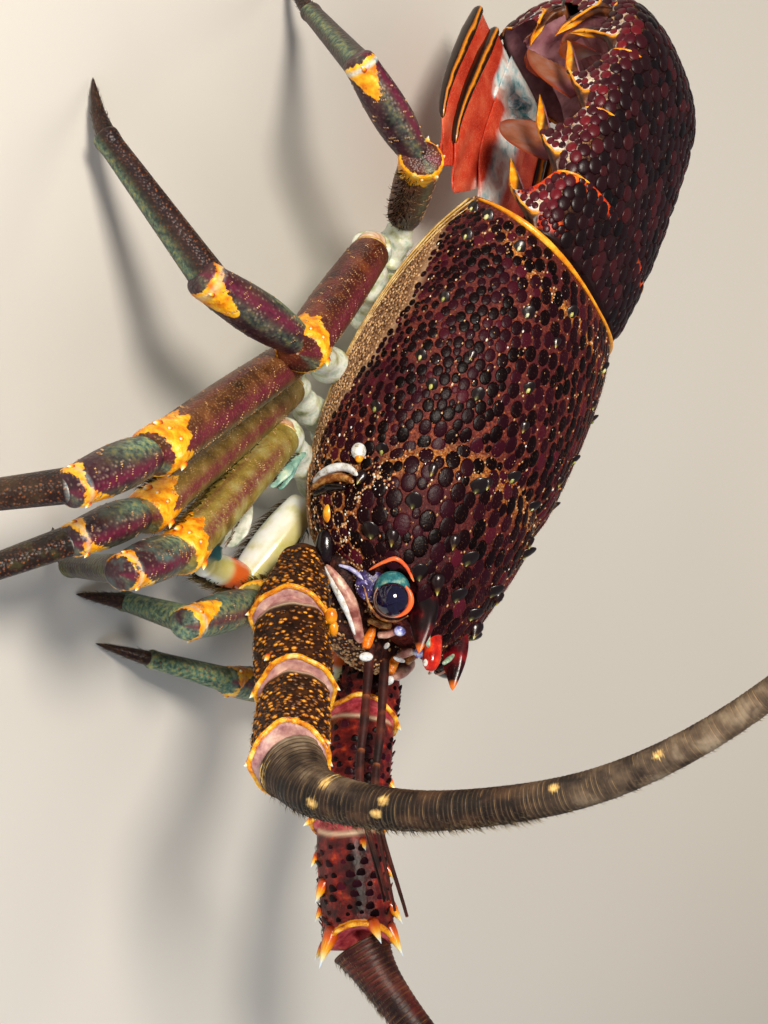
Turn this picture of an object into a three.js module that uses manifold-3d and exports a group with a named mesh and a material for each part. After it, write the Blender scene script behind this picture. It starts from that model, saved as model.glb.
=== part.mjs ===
// A spiny lobster at life size, as a still model: an adult that crouches with its tail flexed under it.
// Millimetres, +Z up, the head towards -Y, the animal's left towards +X. While it is built, y = 0 is the
// rostrum's tip, x = 0 the midline and z = 0 the ground; then the origin moves to the footprint's middle.
import * as THREE from "three";
import { mergeVertices } from "three/addons/utils/BufferGeometryUtils.js";
import Module from "manifold-3d";

const wasm = await Module();
wasm.setup();

// Driving dimensions
const SHELL_LENGTH = 85; // rostrum tip to the middle of the carapace's rear margin
const SHELL_FRONT = 5; // where the shell's front wall stands, behind the rostrum's tip
const REAR_LOBE = 6; // how far the rear margin's sides reach behind its middle
const GAP = 0.3; // clearance left between pieces that meet
const EYE = { x: 14, y: 7.6, z: 47, radius: 4.2, socket: 6.4 };
const EYESTALK = { reach: 7, radius: 3.7 };
const HORN = { x: 8.2, base: [12, 50], tip: [0, 54.5], thickness: 1.7, depth: 3.6 };
const ROSTRUM = { base: [9, 48], tip: [0, 52.5], radius: 2.6 };
const TAIL = {
  start: 88, // y of the front of the first ring
  level: 48.5, // height of the tail's middle line
  straight: 50, // length of the stretch that runs straight back
  bend: 14, // radius of the middle line where the tail curls under
  rings: [15, 17, 17, 14, 13, 12], // length of each ring along the middle line
  halfWidth: [21.5, 22.5, 22, 20.5, 18.5, 16.5],
  rise: [6.5, 8.5, 9, 8.5, 7.5, 6.5], // the eaves to the back
  drop: [5, 6, 6, 5, 4.5, 4], // middle line to the belly
  pleuron: [10, 10, 10, 9.5, 8.5, 6.5], // how far each side plate's point hangs below the middle line
  eaves: 1.5, // height of the side plates' front corners above the middle line
  plate: 2.6, // thickness of a side plate
};
const FAN = { y: 145, z: 17.5, length: 37, slope: 4, thickness: 1.3 };

// The carapace's cross-section at a few stations along it: y, half width, level of the widest line,
// height of the crown and height of the lower edge
const SHELL_STATIONS = [
  [5, 9.5, 45.5, 51, 40],
  [10, 15.5, 41, 53.5, 31],
  [16, 21.5, 36, 55, 23.5],
  [28, 26.8, 33, 57, 19.5],
  [44, 29.8, 33, 59, 18.5],
  [60, 30.5, 34, 60, 19.5],
  [75, 29.5, 36, 59.5, 22],
  [85, 27.5, 38, 57.5, 26.5],
];

// The larger spines of the carapace, one of each pair: y, turn from the side towards the crown in degrees,
// length and radius at the base
const SHELL_SPINES = [
  [11.5, -12, 6, 2.6],
  [14, 62, 4.5, 1.9],
  [17, 30, 3.4, 1.7],
  [22, 64, 3.2, 1.5],
  [25, 10, 3.4, 1.6],
  [31, 42, 2.6, 1.4],
  [35, 68, 2.6, 1.4],
  [49, 72, 2.4, 1.4],
  [54, 38, 2.2, 1.3],
  [68, 70, 2.2, 1.3],
];

const LEG_SIZE = [0.96, 0.9, 1, 1.06, 0.9]; // of each pair, against LEG_RADIUS
const LEG_RADIUS = { hip: 3.8, merus: 4.6, carpus: 4.1, propodus: 3.2, dactyl: 1.9 };
const LEG_STEPS = { hip: 1, merus: 3, carpus: 2, propodus: 1, dactyl: 1 }; // rings of faces along each
const LEG_FLATNESS = 0.88; // a leg's width against its depth
const KNEE_OVERLAP = 0.55; // how far each length reaches past its far joint, in half widths
const FOOT_RADIUS = 1.1;

// Each leg from its hip on the breastplate: for hip, merus, carpus and propodus, the length, the heading
// in degrees (0 points to +X, -90 to the front) and the rise in degrees; for the dactyl, heading and reach
const LEGS = {
  right_1: {
    hip: [-9, 30, 17],
    bones: [[24.7, -176, 14], [46.2, -124, 13], [16.4, -139, 7], [26.4, 16, -61]],
    dactyl: [69, 8.5],
  },
  right_2: {
    hip: [-11, 41, 16],
    bones: [[20.9, -177, 8], [57.2, -126, 10], [16.1, -132, -5], [31.8, -116, -41]],
    dactyl: [-125, 15.8],
  },
  right_3: {
    hip: [-14, 53, 18],
    bones: [[32, -159, 16], [57.2, -130, 11], [17.9, -129, -5], [36.8, -128, -52]],
    dactyl: [-145, 15.8],
  },
  right_4: {
    hip: [-17, 65, 18],
    bones: [[21, 164, 22], [40, -118, 14], [22, -173, -18], [32, 135, -42]],
    dactyl: [114, 12],
  },
  right_5: {
    hip: [-20, 77, 19],
    bones: [[11, 123, 16], [34, -166, 35], [20, 161, -18], [33, 72, -49]],
    dactyl: [100, 11],
  },
  left_1: {
    hip: [9, 30, 16],
    bones: [[11.6, -73, -26], [37.2, -146, 17], [22.7, -143, 5], [19.3, 37, -78]],
    dactyl: [-157, 10.3],
  },
  left_2: {
    hip: [11, 41, 17],
    bones: [[16.1, -45, -14], [37.1, -104, -2], [17.1, -159, 3], [18.7, -164, -19]],
    dactyl: [-165, 11.4],
  },
  left_3: {
    hip: [14, 53, 18],
    bones: [[16.1, 0, 7], [39.2, 13, -4], [16.1, 40, -14], [26.6, 90, -20]],
    dactyl: [85, 12],
  },
  left_4: {
    hip: [17, 65, 18],
    bones: [[14.6, 12, 12], [38.3, 49, 3], [17.7, 62, -16], [29.3, 81, -26]],
    dactyl: [80, 11.2],
  },
  left_5: {
    hip: [20, 77, 19],
    bones: [[13.2, 51, 13], [33, 76, 14], [15.7, 74, -22], [26.3, 81, -43]],
    dactyl: [84, 9.1],
  },
};

// The joints of each antenna's stalk and of its whip's middle line, and the whip's radius at both ends
const ANTENNAE = {
  right: {
    stalk: [[-17.5, 9, 28], [-22.5, -4.5, 34], [-26, -19, 44], [-38.6, -35.6, 57.6]],
    whip: [
      [-39, -36.3, 58.5], [-41.2, -40, 66], [-42.3, -39.8, 83], [-43.3, -35.6, 99.7], [-45, -29.4, 115],
      [-48, -20.3, 129], [-52, -8, 142], [-59, 15, 160], [-68, 45, 175], [-76, 80, 183],
    ],
  },
  left: {
    stalk: [[17.5, 9, 28], [15.5, -8, 32.5], [13.8, -30, 40], [20.6, -49.4, 47.6]],
    whip: [
      [21, -50.2, 48.2], [23.2, -54.2, 52.6], [27.5, -60.5, 61.5], [35, -70, 78], [47, -81, 98],
      [62, -90, 117], [80, -95, 134], [98, -96, 146],
    ],
  },
};
const STALK_RADIUS = [7.4, 6.7, 6, 5.4];
const WHIP_RADIUS = [4.4, 0.7];
const WHIP_CUTS = [0, 0.25, 0.6, 1]; // where each whip is parted, as shares of its length
const WHIP_STEPS = [8, 6, 6]; // rings of faces along each of its lengths
const ANTENNULE = {
  joints: [[3.4, 1, 40], [3.6, -13, 45], [3.4, -27, 50], [3.2, -46, 64]],
  radius: [1.5, 1.17, 0.84],
};
// The third maxillipeds, the jaws' outermost pair of limbs: the right one held out, the left one in
const MAXILLIPEDS = {
  right: [[-12.5, 25, 18.5], [-15.5, 5, 14.5], [-26, 2, 12.5], [-27, 6, 13], [-29, 18, 15.5]],
  left: [[10, 25, 21], [13.5, 8, 20], [20, 1, 18], [22, 5, 17], [24, 14, 16]],
};
const MAXILLIPED_RADIUS = [3.9, 3.5, 2.6, 2];

// The pieces below the head and the trunk, each from its front to its rear, with the half width, the level
// of its middle and its half height at both ends
const BROW = {
  start: -1, length: 15, halfWidth: [11, 20], level: [34.5, 34], half: [6, 5.5], round: 0.75,
};
const JAWS = {
  start: 2, length: 20, halfWidth: [8.5, 10], level: [24.6, 24.6], half: [3.5, 3.5], round: 0.8,
};
const BREASTPLATE = {
  start: 24, length: 62, halfWidth: [8, 23], level: [18.2, 19.8], half: [4.4, 5.4], round: 0.6,
};

// The flaps under the tail's second to fifth rings
const PLEOPOD = {
  root: 12.5, halfWidth: 5.2, thickness: 0.9, length: [14, 15, 8, 6], beforeRear: 7, lean: 5,
};

// Colours as the eye takes them in by soft light
const COLOUR = {
  shell: 0x3a1512, underside: 0xc9b48c, mouth: 0x8a6a48, eye: 0x1b1838, eyestalk: 0x4a6f78, horn: 0x5a0a10,
  stalk: 0x3b1c0c, whip: 0x30180f, antennule: 0x6e3420, limb: 0x5a3a1e, maxilliped: 0xcfc6a6,
  tail: 0x3a0c18, fan: 0xc4452c, pleopod: 0x7a4a34,
};
const SIDES = [["right", -1], ["left", 1]];

const vec = (p) => new THREE.Vector3(...p);
const { lerp, clamp, degToRad: degrees } = THREE.MathUtils;
const power = (value, exponent) => Math.sign(value) * Math.abs(value) ** exponent;

// A row of numbers read smoothly from a table at a place along its first column
function readRow(rows, place) {
  let i = 0;
  while (i < rows.length - 2 && place > rows[i + 1][0]) i += 1;
  const [low, high] = [rows[i], rows[i + 1]];
  const t = clamp((place - low[0]) / (high[0] - low[0]), 0, 1);
  return low.map((value, column) => {
    const before = rows[Math.max(i - 1, 0)];
    const after = rows[Math.min(i + 2, rows.length - 1)];
    const slopeIn = ((high[column] - before[column]) / (high[0] - before[0])) * (high[0] - low[0]);
    const slopeOut = ((after[column] - value) / (after[0] - low[0])) * (high[0] - low[0]);
    const a = 2 * t ** 3 - 3 * t ** 2 + 1;
    const b = t ** 3 - 2 * t ** 2 + t;
    const c = t ** 3 - t ** 2;
    return a * value + b * slopeIn + (1 - a) * high[column] + c * slopeOut;
  });
}

// A solid from a geometry, with its equal points joined and its faces turned outwards
function solidOf(geometry) {
  const bare = new THREE.BufferGeometry().setAttribute("position", geometry.getAttribute("position"));
  if (geometry.index) bare.setIndex(geometry.index);
  const merged = mergeVertices(bare, 1e-4);
  const corners = [];
  for (let i = 0; i < merged.index.count; i += 3) {
    const [a, b, c] = merged.index.array.slice(i, i + 3);
    if (a !== b && b !== c && c !== a) corners.push(a, b, c);
  }
  const vertProperties = merged.attributes.position.array;
  const make = (order) =>
    new wasm.Manifold(new wasm.Mesh({ numProp: 3, vertProperties, triVerts: Uint32Array.from(order) }));
  const solid = make(corners);
  return solid.volume() > 0 ? solid : make(corners.reverse());
}

function geometryOf(solid) {
  const mesh = solid.getMesh();
  return new THREE.BufferGeometry()
    .setAttribute("position", new THREE.BufferAttribute(mesh.vertProperties, 3))
    .setIndex(new THREE.BufferAttribute(mesh.triVerts, 1));
}

// A closed drum whose every point is moved to where skin(along, turn) says: along runs from 0 to 1
// between its two ends, turn goes once round it
function drum(sides, steps, skin) {
  const geometry = new THREE.CylinderGeometry(1, 1, 1, sides, steps);
  const points = geometry.getAttribute("position");
  for (let i = 0; i < points.count; i += 1) {
    const along = clamp(0.5 - points.getY(i), 0, 1);
    const middle = Math.hypot(points.getX(i), points.getZ(i)) < 0.5;
    const place = new THREE.Vector3();
    if (middle) {
      for (let k = 0; k < sides; k += 1) {
        place.addScaledVector(skin(along, (k * 2 * Math.PI) / sides), 1 / sides);
      }
    } else {
      place.copy(skin(along, Math.atan2(points.getZ(i), points.getX(i))));
    }
    points.setXYZ(i, place.x, place.y, place.z);
  }
  return solidOf(geometry);
}

// A straight length from one joint to the next, oval in section; bulge(along) scales both half widths
function bone(from, to, half, bulge, { flat = 1, up = [0, 0, 1], sides = 8, steps = 3 } = {}) {
  const [start, end] = [vec(from), vec(to)];
  const axis = end.clone().sub(start).normalize();
  const side = axis.clone().cross(vec(up)).normalize();
  const top = side.clone().cross(axis);
  return drum(sides, steps, (along, turn) =>
    start.clone().lerp(end, along)
      .addScaledVector(side, Math.cos(turn) * half * flat * bulge(along))
      .addScaledVector(top, Math.sin(turn) * half * bulge(along)));
}

// A round tube along a stretch of a smooth line, from the place `first` to the place `last` of its length
function tube(line, first, last, radius, sides, steps) {
  const frames = line.computeFrenetFrames(steps, false);
  return drum(sides, steps, (along, turn) => {
    const place = lerp(first, last, along);
    const axis = line.getTangentAt(place);
    const side = frames.normals[0].clone().addScaledVector(axis, -frames.normals[0].dot(axis)).normalize();
    return line.getPointAt(place)
      .addScaledVector(side, Math.cos(turn) * radius(place))
      .addScaledVector(axis.cross(side), Math.sin(turn) * radius(place));
  });
}

function ball(centre, half, sides = 12) {
  const sphere = new THREE.SphereGeometry(1, sides, Math.round(sides * 0.6));
  return solidOf(sphere.scale(...half).translate(...centre));
}

function thorn(base, direction, length, radius, sides = 4) {
  const cone = new THREE.ConeGeometry(radius, length + 2, sides, 1);
  cone.translate(0, length / 2 - 1, 0);
  cone.applyQuaternion(new THREE.Quaternion().setFromUnitVectors(new THREE.Vector3(0, 1, 0), direction));
  return solidOf(cone.translate(...base));
}

const joined = (solids) => solids.reduce((all, next) => all.add(next));
const largest = (solid) => solid.decompose().sort((a, b) => b.volume() - a.volume())[0];

// The same solid with its skin moved outwards, to cut a neighbour back by the gap between pieces
function swollen(solid, amount) {
  const geometry = mergeVertices(geometryOf(solid), 1e-4);
  geometry.computeVertexNormals();
  const points = geometry.getAttribute("position");
  const normals = geometry.getAttribute("normal");
  for (let i = 0; i < points.count; i += 1) {
    points.setXYZ(
      i,
      points.getX(i) + normals.getX(i) * amount,
      points.getY(i) + normals.getY(i) * amount,
      points.getZ(i) + normals.getZ(i) * amount,
    );
  }
  return solidOf(geometry);
}

const model = new THREE.Group();
const placed = [];

// Adds a piece under its name, cut back by the thin gap from every piece that was added before it
function add(name, solid, colour, roughness = 0.45) {
  const fitted = placed.reduce((rest, earlier) => {
    if (rest.intersect(earlier.cutter).volume() === 0) return rest;
    return largest(rest.subtract(earlier.cutter));
  }, solid);
  placed.push({ name, cutter: swollen(fitted, GAP).add(fitted) });
  const material = new THREE.MeshStandardMaterial({ color: colour, roughness, metalness: 0 });
  const mesh = new THREE.Mesh(geometryOf(fitted), material);
  mesh.name = name;
  model.add(mesh);
}

// The carapace: a point of its skin for a place along it and a turn round it
function shellSkin(along, turn) {
  const cosine = Math.cos(turn);
  const sine = Math.sin(turn);
  const rear = SHELL_LENGTH + REAR_LOBE * (1 - Math.max(sine, 0)) ** 0.8 * (sine > -0.6 ? 1 : 0.4);
  const y = SHELL_FRONT + along * (rear - SHELL_FRONT);
  const row = readRow(SHELL_STATIONS, SHELL_FRONT + along * (SHELL_LENGTH - SHELL_FRONT));
  const [, halfWidth, level, crown, keel] = row;
  const grooveLine = 40 - 16 * (1 - Math.max(sine, 0)) ** 1.5; // further forward at the sides
  const groove = 1 - 0.045 * Math.exp(-(((y - grooveLine) / 3.2) ** 2)) * (sine > 0 ? 1 : 0);
  const height = sine > 0 ? (crown - level) * groove : level - keel;
  const x = halfWidth * power(cosine, sine > 0 ? 0.92 : 0.6) * (sine > 0 ? groove : 1);
  return new THREE.Vector3(x, y, level + height * power(sine, sine > 0 ? 0.96 : 0.75));
}

function addCarapace() {
  let shell = drum(24, 12, shellSkin);
  for (const [, side] of SIDES) {
    for (const [y, turn, length, radius] of SHELL_SPINES) {
      const along = (y - SHELL_FRONT) / (SHELL_LENGTH - SHELL_FRONT);
      const angle = side > 0 ? degrees(turn) : Math.PI - degrees(turn);
      const base = shellSkin(along, angle);
      const outward = base.clone().sub(new THREE.Vector3(0, y + 4, 38)).normalize();
      shell = shell.add(thorn(base.toArray(), outward, length, radius));
    }
    shell = shell.subtract(ball([side * EYE.x, EYE.y - 1, EYE.z], [EYE.socket, EYE.socket, EYE.socket]));
  }
  add("carapace", largest(shell), COLOUR.shell, 0.5);
}

// A rounded block along the body's middle, from its front to its rear
function trunk({ start, length, halfWidth, level, half, round }) {
  return drum(10, 2, (t, turn) => new THREE.Vector3(
    lerp(...halfWidth, t) * power(Math.cos(turn), round),
    start + length * t,
    lerp(...level, t) + lerp(...half, t) * power(Math.sin(turn), round),
  ));
}

function addHead() {
  for (const [side, hand] of SIDES) {
    const { x, y, z, radius } = EYE;
    add(`eye_${side}`, ball([hand * x, y, z], [radius, radius, radius], 10), COLOUR.eye, 0.12);
    const stalkFrom = [hand * (x - EYESTALK.reach), y + 3.5, z - 2];
    const stalkTo = [hand * x, y + 0.6, z - 0.6];
    const stalk = bone(stalkFrom, stalkTo, EYESTALK.radius, (t) => 0.8 + 0.25 * t, { steps: 1 });
    add(`eyestalk_${side}`, stalk, COLOUR.eyestalk);
    const hornAt = ([along, height]) => [hand * HORN.x, along, height];
    const taper = (t) => 1.02 - t ** 1.4 * 0.92;
    const shape = { flat: HORN.thickness / HORN.depth, sides: 6 };
    const horn = bone(hornAt(HORN.base), hornAt(HORN.tip), HORN.depth, taper, shape);
    add(`horn_${side}`, horn, COLOUR.horn, 0.25);
  }
  const rostrumAt = ([along, height]) => [0, along, height];
  const spike = (t) => 1 - 0.85 * t;
  const rostrum = bone(rostrumAt(ROSTRUM.base), rostrumAt(ROSTRUM.tip), ROSTRUM.radius, spike);
  add("rostrum", rostrum, COLOUR.horn, 0.25);
  add("epistome", trunk(BROW), COLOUR.mouth);
  add("mouthparts", trunk(JAWS), COLOUR.mouth);
}

function addAntennae() {
  for (const [side, { stalk, whip }] of Object.entries(ANTENNAE)) {
    for (let i = 0; i < 3; i += 1) {
      const [from, to] = [vec(stalk[i]), vec(stalk[i + 1])];
      const start = from.clone().lerp(to, i ? 0.03 : 0).toArray();
      const end = from.clone().lerp(to, 1.03).toArray();
      const swell = (t) => (0.9 + 0.16 * t) * (t < 0.01 || t > 0.99 ? 0.86 : 1);
      const segment = bone(start, end, STALK_RADIUS[i], swell, { steps: 2 });
      add(`antenna_${side}_stalk_${i + 1}`, segment, COLOUR.stalk);
    }
    const line = new THREE.CatmullRomCurve3(whip.map(vec));
    const thickness = (place) => lerp(WHIP_RADIUS[0], WHIP_RADIUS[1], place ** 0.8);
    const gap = GAP / line.getLength();
    for (let i = 0; i < 3; i += 1) {
      const first = WHIP_CUTS[i] + (i ? gap : 0);
      const piece = tube(line, first, WHIP_CUTS[i + 1], thickness, 6, WHIP_STEPS[i]);
      add(`antenna_${side}_whip_${i + 1}`, piece, COLOUR.whip);
    }
  }
  for (const [side, hand] of SIDES) {
    const joints = ANTENNULE.joints.map(([x, y, z]) => [hand * x, y, z]);
    const rod = limb(joints, ANTENNULE.radius, () => 1, { sides: 5, steps: 1 });
    add(`antennule_${side}`, rod, COLOUR.antennule);
  }
}

// Lengths from joint to joint, joined into one limb
function limb(joints, radius, bulge, shape) {
  return joined(radius.map((half, i) => bone(joints[i], joints[i + 1], half, bulge, shape)));
}

function addMaxillipeds() {
  const bulge = (t) => 0.85 + 0.3 * Math.sin(Math.PI * t);
  for (const [side, joints] of Object.entries(MAXILLIPEDS)) {
    const solid = limb(joints, MAXILLIPED_RADIUS, bulge, { sides: 5, steps: 2 });
    add(`maxilliped_${side}`, solid, COLOUR.maxilliped);
  }
}

function legJoints({ hip, bones, dactyl }) {
  const joints = [vec(hip)];
  for (const [length, heading, rise] of bones) {
    const level = length * Math.cos(degrees(rise));
    const ahead = degrees(heading);
    const step = [level * Math.cos(ahead), level * Math.sin(ahead), length * Math.sin(degrees(rise))];
    joints.push(joints[joints.length - 1].clone().add(vec(step)));
  }
  const wrist = joints[joints.length - 1];
  const [heading, reach] = dactyl;
  joints.push(new THREE.Vector3(
    wrist.x + reach * Math.cos(degrees(heading)),
    wrist.y + reach * Math.sin(degrees(heading)),
    FOOT_RADIUS * 0.4,
  ));
  return joints;
}

function addLegs() {
  const ground = solidOf(new THREE.BoxGeometry(400, 400, 20).translate(0, 0, -10));
  const shapes = {
    hip: (t) => 0.9 + 0.1 * Math.cos(4 * Math.PI * t),
    merus: (t) => 0.78 + 0.24 * Math.sin(Math.PI * Math.min(1, 0.18 + t * 0.75)) + 0.08 * t ** 6,
    carpus: (t) => 0.78 + 0.3 * Math.sin(Math.PI * Math.min(1, 0.1 + t * 0.62)),
    propodus: (t) => 1 - 0.3 * t ** 1.3,
    dactyl: (t) => 1 - 0.46 * t,
  };
  for (const [name, pose] of Object.entries(LEGS)) {
    const joints = legJoints(pose);
    const size = LEG_SIZE[Number(name.slice(-1)) - 1];
    const bones = Object.entries(shapes).map(([part, bulge], i) => {
      const half = LEG_RADIUS[part] * size;
      const axis = joints[i + 1].clone().sub(joints[i]).normalize();
      const past = part === "dactyl" ? 0 : half * KNEE_OVERLAP;
      const end = joints[i + 1].clone().addScaledVector(axis, past);
      const shape = { flat: LEG_FLATNESS, sides: 6, steps: LEG_STEPS[part] };
      return bone(joints[i].toArray(), end.toArray(), half, bulge, shape);
    });
    add(`leg_${name}`, joined(bones).subtract(ground), COLOUR.limb);
  }
}

// A place of the tail: s along its middle line, x to the side and h above it
function tailPoint(s, x, h) {
  const { start, level, straight, bend } = TAIL;
  if (s < straight) return new THREE.Vector3(x, start + s, level + h);
  const turn = (s - straight) / bend;
  return new THREE.Vector3(
    x,
    start + straight + (bend + h) * Math.sin(turn),
    level - bend + (bend + h) * Math.cos(turn),
  );
}

// One ring: a dome whose flanks hang down in side plates, with the belly's soft floor between them.
// The lower edge of a side plate slopes back and down to a point at the ring's rear edge.
function addTail() {
  const sides = 16;
  let front = 0;
  TAIL.rings.forEach((length, i) => {
    const next = Math.min(i + 1, TAIL.rings.length - 1);
    const begin = front + (i ? GAP : 0);
    const end = front + length;
    const ring = drum(sides, 3, (t, turn) => {
      const size = (key) => lerp(TAIL[key][i], TAIL[key][next], t) * (t < 0.01 ? 0.97 : 1);
      const s = lerp(begin, end, t);
      const hand = Math.cos(turn) < 0 ? -1 : 1;
      const step = (Math.round((turn * sides) / (2 * Math.PI)) + sides) % sides;
      const below = step > sides / 2 ? Math.min(step - sides / 2, sides - step) : 0;
      const flank = hand * size("halfWidth");
      const point = lerp(TAIL.eaves, -TAIL.pleuron[i], t);
      if (below === 1) return tailPoint(s, flank, point);
      if (below === 2) return tailPoint(s, flank - hand * TAIL.plate, -size("drop") * 0.2);
      const belly = size("drop") * Math.sin(turn);
      if (below > 2) return tailPoint(s, size("halfWidth") * 0.9 * Math.cos(turn), belly);
      const crown = TAIL.eaves + size("rise") * power(Math.sin(turn), 0.9);
      return tailPoint(s, size("halfWidth") * power(Math.cos(turn), 0.8), crown);
    });
    add(`tail_ring_${i + 1}`, ring, COLOUR.tail, 0.35);
    front = end;
  });
}

// A flat blade in the fan: from its root, with a length, a half width and a heading away from the midline
function blade(root, heading, length, half, lift, { front = 0.72, thickness = FAN.thickness } = {}) {
  const turnBy = degrees(heading);
  return drum(8, 3, (t, turn) => {
    const spread = front + (1 - front) * Math.sin((Math.min(1, t * 1.7) * Math.PI) / 2);
    const width = half * spread * (1 - 0.5 * t ** 7);
    const across = Math.cos(turn) * width;
    const reach = t * length * (1 - 0.1 * Math.cos(turn) ** 2 * t);
    return new THREE.Vector3(
      root[0] + across * Math.cos(turnBy) + reach * Math.sin(turnBy),
      root[1] - reach * Math.cos(turnBy) + across * Math.sin(turnBy),
      root[2] + lift * t + (Math.sin(turn) * thickness) / 2,
    );
  });
}

function addFan() {
  add("telson", blade([0, FAN.y, FAN.z], 0, FAN.length, 8, FAN.slope, { thickness: 1.8 }), COLOUR.fan, 0.4);
  for (const [side, hand] of SIDES) {
    const inner = blade([hand * 7.5, FAN.y, FAN.z - 1.9], hand * 12, FAN.length, 7.5, FAN.slope);
    add(`uropod_inner_${side}`, inner, COLOUR.fan, 0.4);
    const outer = blade([hand * 12.5, FAN.y, FAN.z - 3.6], hand * 22, FAN.length * 0.98, 7.5, FAN.slope);
    add(`uropod_outer_${side}`, outer, COLOUR.fan, 0.4);
  }
}

function addPleopods() {
  PLEOPOD.length.forEach((length, i) => {
    const ringEnd = TAIL.rings.slice(0, i + 2).reduce((sum, ring) => sum + ring, 0);
    for (const [side, hand] of SIDES) {
      const flap = drum(6, 2, (t, turn) => {
        const width = PLEOPOD.halfWidth * (0.45 + 0.6 * Math.sin(Math.PI * (0.1 + 0.75 * t)));
        return tailPoint(
          ringEnd - PLEOPOD.beforeRear + PLEOPOD.lean * t + (Math.sin(turn) * PLEOPOD.thickness) / 2,
          hand * (PLEOPOD.root + 3 * t + Math.cos(turn) * width),
          -TAIL.drop[i + 1] - GAP - t * length,
        );
      });
      add(`pleopod_${side}_${i + 2}`, flap, COLOUR.pleopod);
    }
  });
}

addCarapace();
addHead();
add("breastplate", trunk(BREASTPLATE), COLOUR.underside);
addAntennae();
addTail();
addFan();
addMaxillipeds();
addLegs();
addPleopods();

// The origin moves to the middle of the footprint, at ground level
const box = new THREE.Box3().setFromObject(model);
const centre = box.getCenter(new THREE.Vector3());
model.position.set(-centre.x, -centre.y, -box.min.z);
model.updateMatrixWorld(true);

export default model;
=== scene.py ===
"""The looks of a life-size spiny lobster: its shell, horns, eyes, limbs, scales and bristles.

Shapes are worked out in millimetres in the body's own frame: x = 0 on the midline, y = 0 at the
rostrum's tip with the tail towards +y, z = 0 on the ground. finish_piece moves them into place.
"""

import functools
import itertools
import math

import bmesh
import bpy
import numpy as np
from mathutils import Matrix, Vector


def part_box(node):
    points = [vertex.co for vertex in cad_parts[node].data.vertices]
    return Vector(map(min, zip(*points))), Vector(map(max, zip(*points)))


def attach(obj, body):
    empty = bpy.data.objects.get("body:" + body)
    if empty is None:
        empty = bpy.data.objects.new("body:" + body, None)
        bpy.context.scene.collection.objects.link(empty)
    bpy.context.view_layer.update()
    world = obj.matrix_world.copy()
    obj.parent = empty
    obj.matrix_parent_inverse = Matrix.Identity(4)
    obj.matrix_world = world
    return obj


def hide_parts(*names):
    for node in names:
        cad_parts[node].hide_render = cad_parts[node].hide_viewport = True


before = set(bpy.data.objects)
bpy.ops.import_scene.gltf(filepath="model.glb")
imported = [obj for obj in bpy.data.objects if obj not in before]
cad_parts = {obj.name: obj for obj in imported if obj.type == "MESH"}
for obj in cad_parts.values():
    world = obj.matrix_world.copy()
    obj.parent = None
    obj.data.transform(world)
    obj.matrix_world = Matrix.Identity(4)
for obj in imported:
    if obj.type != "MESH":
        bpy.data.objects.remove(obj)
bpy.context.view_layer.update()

# Driving dimensions, repeated from the solids
MM = 0.001
SHELL_LENGTH = 85
SHELL_FRONT = 5
REAR_LOBE = 6
EYE = (14, 7.6, 47)
SOCKET = 6.4
SHELL_STATIONS = [
    (5, 9.5, 45.5, 51, 40),
    (10, 15.5, 41, 53.5, 31),
    (16, 21.5, 36, 55, 23.5),
    (28, 26.8, 33, 57, 19.5),
    (44, 29.8, 33, 59, 18.5),
    (60, 30.5, 34, 60, 19.5),
    (75, 29.5, 36, 59.5, 22),
    (85, 27.5, 38, 57.5, 26.5),
]
SHELL_SPINES = [  # y, turn in degrees, length, radius at the base
    (14, 62, 4.5, 1.9),
    (17, 30, 3.4, 1.7),
    (22, 64, 3.2, 1.5),
    (25, 10, 3.4, 1.6),
    (31, 42, 2.6, 1.4),
    (35, 68, 2.6, 1.4),
    (49, 72, 2.4, 1.4),
    (54, 38, 2.2, 1.3),
    (68, 70, 2.2, 1.3),
]
TAIL_START, TAIL_LEVEL, TAIL_STRAIGHT, TAIL_BEND = 88, 48.5, 50, 14
RING_LENGTH = [15, 17, 17, 14, 13, 12]
RING_HALF_WIDTH = [21.5, 22.5, 22, 20.5, 18.5, 16.5]
RING_RISE = [6.5, 8.5, 9, 8.5, 7.5, 6.5]
RING_DROP = [5, 6, 6, 5, 4.5, 4]
RING_PLEURON = [10, 10, 10, 9.5, 8.5, 6.5]
RING_EAVES = 1.5
RING_PLATE = 2.6
FAN_Y, FAN_Z, FAN_SLOPE = 145, 17.5, 4
PLEOPOD_LENGTH = [14, 15, 8, 6]
LEG_SIZE = [0.96, 0.9, 1, 1.06, 0.9]
LEG_RADIUS = [3.8, 4.6, 4.1, 3.2, 1.9]
LEG_FLATNESS = 0.88
FOOT_LEVEL = 0.44
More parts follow.
